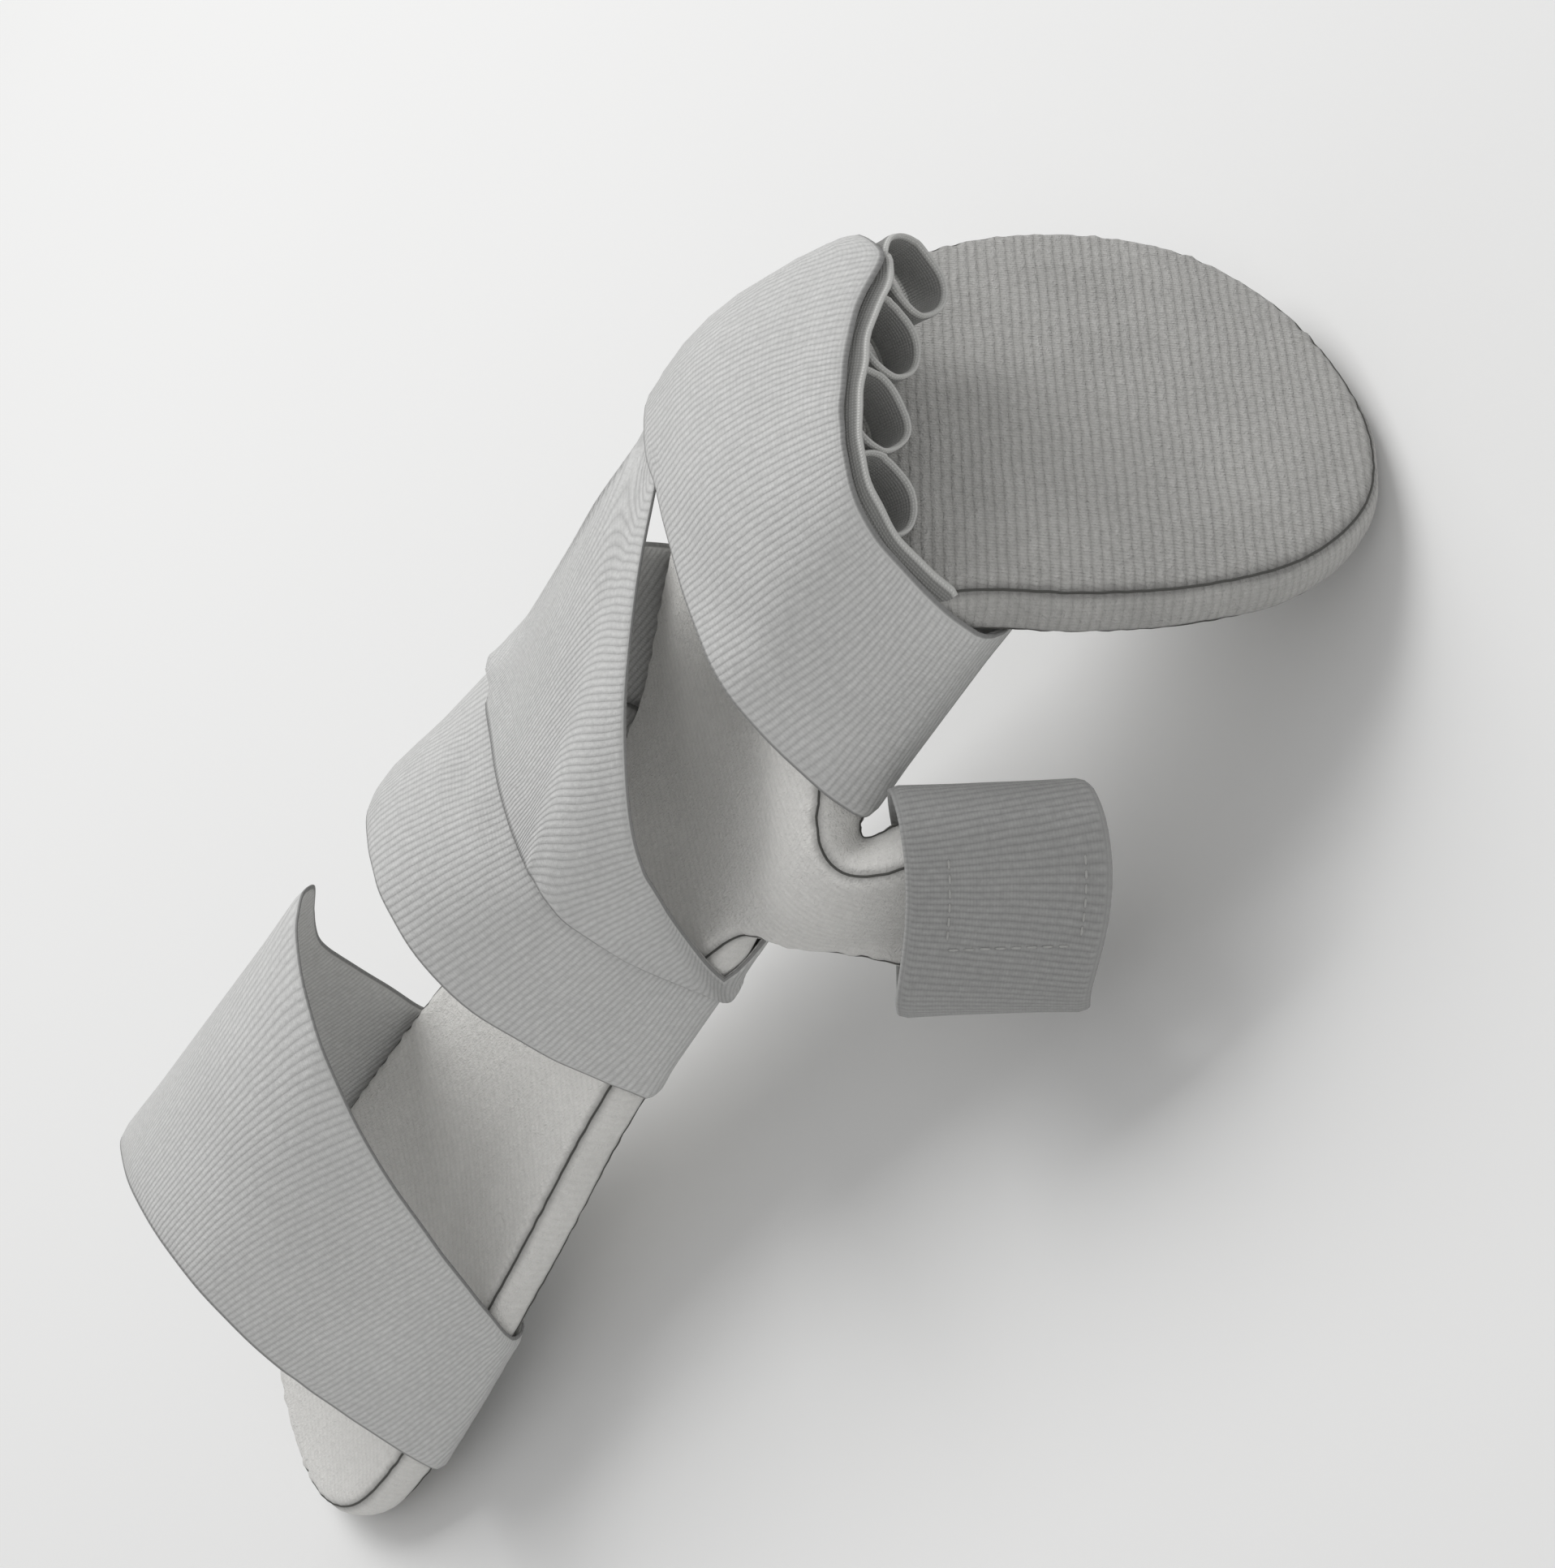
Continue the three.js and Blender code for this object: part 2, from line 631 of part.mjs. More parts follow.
const frontEdge = planeAxes(placePlane(BANDS.find(({ name }) => name === "hand_strap").far.front));
for (const { name, across, crest } of LOOPS) {
  const shape = stadium(LOOP_WIDTH, LOOP_HEIGHT);
  shape.holes.push(stadium(LOOP_WIDTH - 2 * LOOP_WALL, LOOP_HEIGHT - 2 * LOOP_WALL));
  const drawn = { depth: LOOP_DEPTH, bevelEnabled: false, curveSegments: LOOP_PARTS };
  const loop = new THREE.ExtrudeGeometry(shape, drawn);
  const middle = frontEdge.point.clone()
    .addScaledVector(frontEdge.across, across)
    .addScaledVector(frontEdge.upwards, crest - LOOP_HEIGHT / 2)
    .addScaledVector(frontEdge.normal, -LOOP_INSET - LOOP_DEPTH);
  const turned = new THREE.Matrix4().makeBasis(frontEdge.across, frontEdge.upwards, frontEdge.normal);
  loop.applyMatrix4(turned.setPosition(middle));
  addPiece(name, loop, webbing);
}

// The splint stands on its pan tip, its thumb band and its forearm end. Of the flat faces that
// would wrap it tightly, the floor is the widest one that lies under its balance point.
const allPoints = () => splint.children.flatMap(({ geometry }) => meshPoints(geometry));

function balancePoint() {
  const sum = new THREE.Vector3();
  let volume = 0;
  splint.children.forEach(({ geometry }) => {
    const corners = meshPoints(geometry.index ? geometry.toNonIndexed() : geometry);
    for (let i = 0; i < corners.length; i += 3) {
      const [a, b, c] = corners.slice(i, i + 3);
      const part = a.dot(b.clone().cross(c)) / 6;
      volume += part;
      sum.addScaledVector(a.add(b).add(c), part / 4);
    }
  });
  return sum.divideScalar(volume);
}

function restNormal() {
  const hull = new ConvexHull().setFromPoints(allPoints());
  const balance = balancePoint();
  let widest = 0;
  let normal = null;
  for (const face of hull.faces) {
    const height = -face.distanceToPoint(balance);
    if (face.area < widest || face.normal.z > -Math.cos(MOST_TIP)) continue;
    const foot = balance.clone().addScaledVector(face.normal, height);
    const corners = [0, 1, 2].map((n) => face.getEdge(n).head().point);
    if (!new THREE.Triangle(...corners).containsPoint(foot)) continue;
    widest = face.area;
    normal = face.normal.clone();
  }
  return normal;
}

const stand = new THREE.Matrix4().makeRotationFromQuaternion(
  new THREE.Quaternion().setFromUnitVectors(restNormal(), new THREE.Vector3(0, 0, -1)),
);
splint.children.forEach(({ geometry }) => geometry.applyMatrix4(stand));
const extent = new THREE.Box3().setFromPoints(allPoints());
const middle = extent.getCenter(new THREE.Vector3());
splint.children.forEach(({ geometry }) => geometry.translate(-middle.x, -middle.y, -extent.min.z));

export default splint;
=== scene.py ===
"""Looks of a resting splint board: padded board, elastic bands, finger loops and a plain studio.

The forms are worked out level, in millimetres: X towards the fingertips, Y towards the little
finger, Z away from the board's top face, with the wrist crease at the origin. They are then
tipped and moved to where the splint stands on the floor.
"""

import logging
import math
from dataclasses import dataclass, field
from enum import Enum

import bpy
import numpy as np
from mathutils import Matrix, Vector
from mathutils.bvhtree import BVHTree
from mathutils.geometry import delaunay_2d_cdt


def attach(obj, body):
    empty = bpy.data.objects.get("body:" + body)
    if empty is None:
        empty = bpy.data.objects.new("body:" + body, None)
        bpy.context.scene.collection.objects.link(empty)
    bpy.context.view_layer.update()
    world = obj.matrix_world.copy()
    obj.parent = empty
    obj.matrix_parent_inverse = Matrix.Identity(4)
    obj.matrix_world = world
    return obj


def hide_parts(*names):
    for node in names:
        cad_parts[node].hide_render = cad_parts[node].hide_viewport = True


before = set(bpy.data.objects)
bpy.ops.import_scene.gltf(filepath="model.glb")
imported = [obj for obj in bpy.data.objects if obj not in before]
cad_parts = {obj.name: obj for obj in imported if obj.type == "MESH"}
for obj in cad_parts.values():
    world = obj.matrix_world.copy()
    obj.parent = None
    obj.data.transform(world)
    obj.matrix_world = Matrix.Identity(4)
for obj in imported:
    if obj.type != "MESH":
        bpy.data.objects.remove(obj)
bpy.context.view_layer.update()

Array = np.ndarray
Pair = tuple[Array, Array]
Faces = tuple[list[tuple[int, ...]], list[list[tuple[float, float]]]]

log = logging.getLogger("splint")

# Metres in a millimetre, and millimetres of cloth in one unit of its map.
MM = 0.001
UV_UNIT = 100.0
# Parts of a curve between two knots, and parts of a loop over which its direction is taken.
CURVE_PARTS = 60
LEAN_SHARE = 12
# A cloth wall's edge: share of the thickness taken off each face, how far in, and its bulge.
EDGE_ROUND = 0.28
EDGE_REACH = 1.2
EDGE_BULGE = 0.35
# Threads: sides of their section, directions that settle where a section starts, and a
# stitch's outline as shares of its length with the share of its radius there.
THREAD_SIDES = 6
CORD_GUIDE = (0.3, 0.5, 0.81)
STITCH_GUIDE = (0.31, 0.52, 0.79)
STITCH_SHARES = (0.0, 0.15, 0.5, 0.85, 1.0)
STITCH_WIDTHS = (0.25, 0.9, 1.0, 0.9, 0.25)
SIDEWAYS = np.array([0.0, 1.0, 0.0])


# Arithmetic shared by the forms


def smoothstep(values: Array, low: float, high: float) -> Array:
    """Eases from 0 at low to 1 at high."""
    share = np.clip((np.asarray(values, float) - low) / (high - low), 0.0, 1.0)
    return share * share * (3.0 - 2.0 * share)


def unit(vectors: Array) -> Array:
    """Vectors cut to length one."""
    return vectors / np.linalg.norm(vectors, axis=-1, keepdims=True)


def mixed(first: Array, second: Array, share: Array | float) -> Array:
    """Values between two, by a share from 0 to 1."""
    return first + (second - first) * share


def even_angles(count: int) -> Array:
    """Angles at even distances round a circle."""
    return 2.0 * math.pi * np.arange(count) / count


def bell(offsets: Array, spread: float) -> Array:
    """Weights of a bell curve, with one as their sum."""
    weights = np.exp(-0.5 * (offsets / spread) ** 2)
    return weights / weights.sum()


def soften(values: Array, spread: float, axis: int = -1) -> Array:
    """Smooths values that run round a loop."""
    reach = int(3 * spread) + 1
    shifts = np.arange(-reach, reach + 1)
    return sum(w * np.roll(values, n, axis=axis) for w, n in zip(bell(shifts, spread), shifts))


@dataclass(frozen=True)
class Ripple:
    """A gentle unevenness along a run: its depth, the seed of its phases and its wavelengths."""

    depth: float
    seed: int
    wavelengths: tuple[float, ...]

    def along(self, run: Array, more: int = 0) -> Array:
        """Its height along a line.

        Args:
            run: distance along the line.
            more: added to the seed.

        Returns:
            Values between about plus and minus the depth.
        """
        random = np.random.default_rng(self.seed + more)
        phases = random.uniform(0.0, 2.0 * math.pi, len(self.wavelengths))
        waves = [np.sin(2.0 * math.pi * run / w + p) for w, p in zip(self.wavelengths, phases)]
        return self.depth * (np.sum(waves, axis=0) / len(self.wavelengths))


@dataclass(frozen=True)
class Stance:
    """How the level splint is tipped and moved to stand on the floor."""

    floor_normal: tuple[float, float, float] = (-0.229117, -0.112496, -0.966876)
    shift: tuple[float, float, float] = (15.9711, 14.3680, 53.7131)

    def turn(self) -> Array:
        """Rotation that brings the floor under the splint."""
        down = Vector((0.0, 0.0, -1.0))
        return np.array(Vector(self.floor_normal).rotation_difference(down).to_matrix())

    def placed(self, points: Array) -> Array:
        """Level points in millimetres, as standing points in metres, pressed flat on the floor."""
        standing = points @ self.turn().T + np.array(self.shift)
        standing[:, 2] = np.maximum(standing[:, 2], 0.0)
        return standing * MM

    def level(self, points: Array) -> Array:
        """Standing points in metres, as level points in millimetres."""
        return (points / MM - np.array(self.shift)) @ self.turn()


STANCE = Stance()


@dataclass
class Skin:
    """A surface in level millimetres, with what its finish reads from it.

    Faces list vertex numbers, face_uvs their places on the cloth in millimetres, and values
    are named numbers held by each vertex.
    """

    points: Array
    faces: list[tuple[int, ...]]
    face_uvs: list[list[tuple[float, float]]]
    values: dict[str, Array] = field(default_factory=dict)

    def tree(self) -> BVHTree:
        """A search tree of the surface."""
        return BVHTree.FromPolygons([tuple(p) for p in self.points], self.faces)

    def piece(self, name: str, material: bpy.types.Material, slot: str) -> bpy.types.Object:
        """Makes the surface a Blender object that rides on the splint.

        Args:
            name: the piece's name.
            material: its finish.
            slot: a slot name for the finish, which is not used.

        Returns:
            The new object.
        """
        mesh = bpy.data.meshes.new(name)
        mesh.from_pydata(STANCE.placed(self.points).tolist(), [], self.faces)
        layer = mesh.uv_layers.new(name="cloth")
        flat = [xy for face in self.face_uvs for uv in face for xy in uv]
        layer.data.foreach_set("uv", np.array(flat) / UV_UNIT)
        for key, numbers in self.values.items():
            attribute = mesh.attributes.new(key, "FLOAT", "POINT")
            attribute.data.foreach_set("value", np.asarray(numbers, np.float32))
        mesh.polygons.foreach_set("use_smooth", [True] * len(mesh.polygons))
        mesh.update()
        piece = bpy.data.objects.new(name, mesh)
        bpy.context.scene.collection.objects.link(piece)
        piece.data.materials.append(material)
        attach(piece, "root")
        log.info("%s, %d faces", name, len(self.faces))
        return piece


# Finishes


class Amount:
    """A number that varies over a surface, to make sums and products of."""

    def __init__(self, sketch: "Sketch", socket: bpy.types.NodeSocket) -> None:
        """Keeps the output that gives the number."""
        self.sketch = sketch
        self.socket = socket

    def __add__(self, other: "Amount | float") -> "Amount":
        """The sum of this amount and another."""
        return self.sketch.math("ADD", self, other)

    def __sub__(self, other: "Amount | float") -> "Amount":
        """This amount less another."""
        return self.sketch.math("SUBTRACT", self, other)

    def __rsub__(self, other: float) -> "Amount":
        """A number less this amount."""
        return self.sketch.math("SUBTRACT", other, self)

    def __mul__(self, other: "Amount | float") -> "Amount":
        """The product of this amount and another."""
        return self.sketch.math("MULTIPLY", self, other)


Colour = tuple[float, float, float, float]
Tint = Colour | Amount


@dataclass(frozen=True)
class Grain:
    """A cloudy noise: its scale per metre, its detail and how much it counts."""

    scale: float
    detail: float
    weight: float


@dataclass(frozen=True)
class Ribs:
    """Ridges of a cloth: their pitch in millimetres, their sharpness and how much they count."""

    pitch: float
    sharpness: float
    weight: float


class Sketch:
    """A material being drawn, node by node."""

    sheen_roughness = 0.5
    gloss = 0.15

    def __init__(self, name: str) -> None:
        """Starts a material that holds a plain surface."""
        self.material = bpy.data.materials.new(name)
        self.material.use_nodes = True
        self.nodes = self.material.node_tree.nodes
        self.surface = self.nodes["Principled BSDF"]

    def join(self, value: Amount | float | tuple, socket: bpy.types.NodeSocket) -> None:
        """Feeds a socket with a number, a colour or an amount."""
        if isinstance(value, Amount):
            self.material.node_tree.links.new(value.socket, socket)
        else:
            socket.default_value = value

    def node(self, kind: str, output: int | str, inputs: dict, **settings: str) -> Amount:
        """Adds a node.

        Args:
            kind: the node's kind.
            output: the output that is wanted.
            inputs: what is fed to its inputs.
            **settings: the node's own settings.

        Returns:
            The wanted output.
        """
        node = self.nodes.new("ShaderNode" + kind)
        for name, value in settings.items():
            setattr(node, name, value)
        for name, value in inputs.items():
            self.join(value, node.inputs[name])
        return Amount(self, node.outputs[output])

    def math(self, operation: str, *values: Amount | float) -> Amount:
        """A sum, product or other operation on numbers."""
        return self.node("Math", 0, dict(enumerate(values)), operation=operation)

    def ease(self, value: Amount, low: float, high: float) -> Amount:
        """Eases from 0 at low to 1 at high."""
        limits = {"Value": value, "From Min": low, "From Max": high}
        return self.node("MapRange", "Result", limits, interpolation_type="SMOOTHSTEP")

    def noise(self, grain: Grain) -> Amount:
        """Cloudy noise in the object's own space."""
        place = self.node("TexCoord", "Object", {})
        return self.node("TexNoise", "Fac", {"Scale": grain.scale, "Detail": grain.detail, "Vector": place})

    def cloth(self) -> list[Amount]:
        """Places along and across the cloth, in millimetres."""
        place = self.node("UVMap", "UV", {}, uv_map="cloth")
        return [self.node("SeparateXYZ", axis, {"Vector": place}) * UV_UNIT for axis in "XY"]

    def held(self, name: str) -> Amount:
        """A number that the mesh holds at each vertex."""
        return self.node("Attribute", "Fac", {}, attribute_name=name)

    def ridges(self, run: Amount, ribs: Ribs) -> Amount:
        """Round ridges that repeat along a run, from 0 in the valleys to 1 on the crests."""
        wave = self.math("ABSOLUTE", self.math("SINE", run * (math.pi / ribs.pitch)))
        return self.math("POWER", wave, ribs.sharpness)

    def blend(self, share: Amount, first: Tint, second: Tint) -> Amount:
        """A colour between two, by a share from 0 to 1."""
        return self.node("Mix", "Result", {"Factor": share, "A": first, "B": second}, data_type="RGBA")

    def shade(self, colour: Tint, amount: Amount) -> Amount:
        """A colour multiplied by a number."""
        tint = colour if isinstance(colour, Amount) else colour[:3]
        return self.node("VectorMath", 0, {0: tint, "Scale": amount}, operation="SCALE")

    def relief(self, height: Amount, depth: float) -> None:
        """Raises the surface by a height from 0 to 1, to a depth in millimetres."""
        normal = self.surface.inputs["Normal"]
        inputs = {"Distance": depth * MM, "Height": height}
        if normal.is_linked:
            inputs["Normal"] = Amount(self, normal.links[0].from_socket)
        self.join(self.node("Bump", "Normal", inputs), normal)

    def done(self, colour: Tint, roughness: float, sheen: float) -> bpy.types.Material:
        """Sets what is left of the surface and hands the material over."""
        for name, value in (
            ("Base Color", colour), ("Roughness", roughness), ("Sheen Weight", sheen),
            ("Sheen Roughness", self.sheen_roughness), ("Specular IOR Level", self.gloss),
        ):
            self.join(value, self.surface.inputs[name])
        return self.material


@dataclass(frozen=True)
class RibbedKnit:
    """Brushed knit cover with fine ribs, as on the board, with painted shade in the rib valleys, on the pan
    and along the seams.
    """

    crest: Colour = (0.80, 0.79, 0.765, 1.0)
    # Colour of the rib valleys: painted shade between the ribs.
    painted_valley_shade: Colour = (0.38, 0.375, 0.355, 1.0)
    wander: Grain = Grain(90.0, 3.0, 1.1)
    fuzz: Grain = Grain(2600.0, 6.0, 0.25)
    cloud: Grain = Grain(55.0, 4.0, 0.2)
    nap: Grain = Grain(650.0, 4.0, 0.16)
    rib: Ribs = Ribs(1.9, 0.8, 0.7)
    stitch: Ribs = Ribs(0.8, 0.7, 0.3)
    nap_on_rib_shade: tuple[float, float] = (0.8, 0.6)
    rib_shade: float = 0.6
    base_tone: float = 0.92
    # How much painted shade darkens the pan.
    pan_shade: float = 0.44
    seam_shadow_ease: tuple[float, float] = (0.1, 1.9)
    seam_shadow_tone: float = 0.6
    depths: tuple[float, float, float] = (0.26, 0.45, 0.22)

    def material(self) -> bpy.types.Material:
        """Draws the finish.

        Returns:
            A material that reads the cloth's places, the ribs' strength, how far a spot belongs
            to the pan, which gets painted shade, and its distance from the seam, along which a
            shadow is painted.
        """
        sketch = Sketch("ribbed_knit")
        along, across = sketch.cloth()
        rib = sketch.ridges(along + sketch.noise(self.wander) * self.wander.weight, self.rib)
        stitch = sketch.ridges(across, self.stitch)
        fuzz, cloud, nap = (sketch.noise(grain) for grain in (self.fuzz, self.cloud, self.nap))
        strength = sketch.held("ribs")
        # Rib height; where it is low the valley colour paints shade between the ribs, varied by the nap.
        light = rib * self.rib.weight + stitch * self.stitch.weight
        light = light * (nap * self.nap_on_rib_shade[0] + self.nap_on_rib_shade[1])
        share = (1.0 - light) * strength * self.rib_shade + fuzz * self.fuzz.weight
        tone = cloud * self.cloud.weight + self.base_tone + nap * self.nap.weight
        # Painted shade on the pan.
        tone = tone - sketch.held("pan") * self.pan_shade
        # Painted shadow along the seams, darkest at the seam.
        seam = sketch.ease(sketch.held("from_seam"), *self.seam_shadow_ease)
        seam_shadow = seam * (1.0 - self.seam_shadow_tone) + self.seam_shadow_tone
        for height, depth in zip((light * strength, nap, fuzz), self.depths):
            sketch.relief(height, depth)
        colour = sketch.shade(sketch.blend(share, self.crest, self.painted_valley_shade), tone * seam_shadow)
        return sketch.done(colour, roughness=0.95, sheen=0.25)


@dataclass(frozen=True)
class ElasticWeb:
    """Elastic webbing with ribs across its width and a bound edge, with painted shade in the rib valleys and
    a painted shadow line along the very edge.
    """

    name: str = "elastic_web"
    crest: Colour = (0.70, 0.70, 0.69, 1.0)
    # Colour of the rib valleys: painted shade between the ribs.
    painted_valley_shade: Colour = (0.36, 0.36, 0.355, 1.0)
    edge: Colour = (0.68, 0.68, 0.67, 1.0)
    # Overall tone, lowered to paint shade over a whole band.
    tone: float = 1.0
    # Darkness of the painted shadow line along the band's very edge.
    edge_shadow_tone: float = 0.45
    edge_width: float = 0.55
    wander: Grain = Grain(70.0, 3.0, 0.9)
    fuzz: Grain = Grain(2400.0, 5.0, 0.22)
    knot: Grain = Grain(900.0, 2.0, 0.18)
    cloud: Grain = Grain(45.0, 3.0, 0.14)
    rib: Ribs = Ribs(1.45, 0.9, 0.78)
    weft: Ribs = Ribs(0.62, 0.6, 0.22)
    broken: tuple[float, float] = (0.9, 0.55)
    rib_shade: float = 0.5
    edge_shade: float = 0.35
    base_tone: float = 0.84
    rib_depth: float = 0.17
    fuzz_depth: float = 0.1

    def material(self) -> bpy.types.Material:
        """Draws the finish.

        Returns:
            A material that reads the cloth's places and the distance from the edge.
        """
        sketch = Sketch(self.name)
        along, across = sketch.cloth()
        rib = sketch.ridges(along + sketch.noise(self.wander) * self.wander.weight, self.rib)
        weft = sketch.ridges(across, self.weft)
        fuzz, knot, cloud = (sketch.noise(grain) for grain in (self.fuzz, self.knot, self.cloud))
        margin = sketch.held("from_edge")
        light = rib * self.rib.weight + weft * self.weft.weight
        light = light * (knot * self.broken[0] + self.broken[1])
        # Low ribs and weft take the valley colour: painted shade between them, also on the bound edge.
        share = (1.0 - light) * self.rib_shade + fuzz * self.fuzz.weight
        ribbed = sketch.blend(share, self.crest, self.painted_valley_shade)
        bound = sketch.blend(weft * self.edge_shade, self.edge, self.painted_valley_shade)
        inside = sketch.ease(margin, self.edge_width, self.edge_width * 2.0)
        tone = cloud * self.cloud.weight + self.base_tone + knot * self.knot.weight
        # Painted shadow line along the very edge, darkest at the edge.
        rim = sketch.ease(margin, 0.0, self.edge_width) * (1.0 - self.edge_shadow_tone) + self.edge_shadow_tone
        colour = sketch.shade(sketch.blend(inside, bound, ribbed), tone * rim * self.tone)
        sketch.relief(light, self.rib_depth)
        sketch.relief(fuzz, self.fuzz_depth)
        return sketch.done(colour, roughness=0.9, sheen=0.15)


@dataclass(frozen=True)
class SoftRibbon:
    """Soft woven ribbon with a pale edge."""

    face: Colour = (0.30, 0.30, 0.29, 1.0)
    edge: Colour = (0.66, 0.66, 0.64, 1.0)
    warp: Ribs = Ribs(0.7, 0.7, 0.2)
    weft: Ribs = Ribs(0.56, 0.7, 0.2)
    fuzz: Grain = Grain(2400.0, 5.0, 0.12)
    edge_ease: tuple[float, float] = (0.5, 0.9)
    base_tone: float = 0.78
    weave_depth: float = 0.15

    def material(self) -> bpy.types.Material:
        """Draws the finish."""
        sketch = Sketch("soft_ribbon")
        along, across = sketch.cloth()
        light = sketch.ridges(along, self.warp) * sketch.ridges(across, self.weft)
        rim = sketch.ease(sketch.held("from_edge"), *self.edge_ease)
        colour = sketch.blend(rim, self.edge, self.face)
        # Weave crests lighter than the gaps: painted shade in the weave.
        tone = light * self.warp.weight + self.base_tone + sketch.noise(self.fuzz) * self.fuzz.weight
        sketch.relief(light, self.weave_depth)
        return sketch.done(sketch.shade(colour, tone), roughness=0.9, sheen=0.2)


@dataclass(frozen=True)
class SewingThread:
    """Twisted sewing thread."""

    name: str
    colour: Colour
    ply: Ribs = Ribs(0.45, 0.8, 0.3)
    base_tone: float = 0.75
    ply_depth: float = 0.08

    def material(self) -> bpy.types.Material:
        """Draws the finish."""
        sketch = Sketch(self.name)
        along, across = sketch.cloth()
        twist = sketch.ridges(along + across, self.ply)
        sketch.relief(twist, self.ply_depth)
        # Ply ridges lighter than the grooves: painted shade in the twist.
        tone = twist * self.ply.weight + self.base_tone
        return sketch.done(sketch.shade(self.colour, tone), roughness=0.7, sheen=0.1)


# Forms


@dataclass(frozen=True)
class BoardLine:
    """The board's centreline along its top face, bent at wrist and knuckles."""

    wrist_radius: float = 60.0
    wrist_lift: float = math.radians(15.5)
    palm_length: float = 60.0
    knuckle_radius: float = 23.0
    knuckle_drop: float = math.radians(83.0)

    @property
    def wrist_end(self) -> float:
        """Station where the wrist's bend ends."""
        return self.wrist_radius * self.wrist_lift

    @property
    def palm_end(self) -> float:
        """Station where the flat palm ends."""
        return self.wrist_end + self.palm_length

    @property
    def pan_start(self) -> float:
        """Station where the flat pan starts."""
        return self.palm_end + self.knuckle_radius * self.knuckle_drop

    def at(self, stations: Array | float) -> tuple[Array, Array, Array]:
        """Place, direction and normal of the line.

        Args:
            stations: distances along the line from the wrist crease.

        Returns:
            Points, forward directions and upward normals.
        """
        stations = np.asarray(stations, float)
        runs = (
            (self.wrist_end, self.wrist_lift),
            (self.palm_length, 0.0),
            (self.pan_start - self.palm_end, -self.knuckle_drop),
            (math.inf, 0.0),
        )
        x = np.minimum(stations, 0.0)
        z = np.zeros_like(stations)
        angle = np.zeros_like(stations)
        left = np.maximum(stations, 0.0)
        for length, turn in runs:
            step = np.minimum(left, length)
            bent = turn * step / length if turn else np.zeros_like(step)
            chord = step * np.sinc(bent / (2.0 * math.pi))
            x = x + chord * np.cos(angle + bent / 2.0)
            z = z + chord * np.sin(angle + bent / 2.0)
            angle = angle + bent
            left = left - step
        none = np.zeros_like(x)
        points = np.stack([x, none, z], axis=-1)
        along = np.stack([np.cos(angle), none, np.sin(angle)], axis=-1)
        up = np.stack([-np.sin(angle), none, np.cos(angle)], axis=-1)
        return points, along, up


LINE = BoardLine()


def smooth_loop(knots: Array, step: float) -> Array:
    """A closed curve through knots, resampled at even distances.

    Args:
        knots: corner points in order.
        step: distance between the points returned.

    Returns:
        Points along the curve, the first one not repeated.
    """
    dense = []
    shares = np.linspace(0.0, 1.0, CURVE_PARTS, endpoint=False)[:, None]
    for i in range(len(knots)):
        before, start, end, after = (knots[(i + k - 1) % len(knots)] for k in range(4))
        first, middle, last = (
            np.sqrt(np.linalg.norm(b - a)) for a, b in ((before, start), (start, end), (end, after))
        )
        leave = (start - before) / first - (end - before) / (first + middle) + (end - start) / middle
        reach = (end - start) / middle - (after - start) / (middle + last) + (after - end) / last
        leave, reach = leave * middle, reach * middle
        bow = 3.0 * (end - start) - 2.0 * leave - reach
        twist = 2.0 * (start - end) + leave + reach
        dense.append(start + leave * shares + bow * shares**2 + twist * shares**3)
    return even_loop(np.concatenate(dense), step)


def line_run(points: Array) -> Array:
    """Distance along a line at each point."""
    return np.concatenate([[0.0], np.cumsum(np.linalg.norm(np.diff(points, axis=0), axis=1))])


def loop_run(points: Array) -> Array:
    """Distance along a closed line at each point, ending with the whole length."""
    return line_run(np.vstack([points, points[:1]]))


def at_marks(marks: Array, run: Array, points: Array) -> Array:
    """Points of a line at some distances along it."""
    return np.stack([np.interp(marks, run, values) for values in points.T], axis=1)


def even_loop(points: Array, step: float) -> Array:
    """Closed polyline resampled at even distances."""
    run = loop_run(points)
    marks = np.linspace(0.0, run[-1], int(round(run[-1] / step)), endpoint=False)
    return at_marks(marks, run, np.vstack([points, points[:1]]))


def ahead_on(loop: Array) -> Array:
    """Directions along a closed line."""
    return unit(np.roll(loop, -1, axis=0) - np.roll(loop, 1, axis=0))


def tube(along: Array, across: Array, columns: int) -> Faces:
    """Faces between rings of points that stand side by side, with their places on the cloth.

    Args:
        along: distance along the cloth, by ring and point. A closed tube ends with one more
            row, for its first ring.
        across: distance across the cloth of each point of a ring, and once more for the first.
        columns: how many rings there are.

    Returns:
        The faces and their places.
    """
    count = along.shape[1]
    faces, uvs = [], []
    for k in range(len(along) - 1):
        after = (k + 1) % columns
        for j in range(count):
            up = (j + 1) % count
            faces.append((k * count + j, after * count + j, after * count + up, k * count + up))
            uvs.append([
                (along[k, j], across[j]), (along[k + 1, j], across[j]),
                (along[k + 1, up], across[j + 1]), (along[k, up], across[j + 1]),
            ])
    return faces, uvs


def leans(ring: Array, middle: Array, run: Array) -> Array:
    """How far each point of a closed wall lies along the cloth, past its column's middle.

    Args:
        ring: points of the wall, row by row.
        middle: the wall's middle line.
        run: distance along the middle line, ending with the whole length.

    Returns:
        One distance for each column and row, which sets ribs square to the middle line.
    """
    reach = len(middle) // LEAN_SHARE
    ahead, behind = np.roll(middle, -reach, axis=0), np.roll(middle, reach, axis=0)
    span = (np.roll(run[:-1], -reach) - np.roll(run[:-1], reach)) % run[-1]
    return np.einsum("rcx,cx->cr", ring - middle, (ahead - behind) / span[:, None])


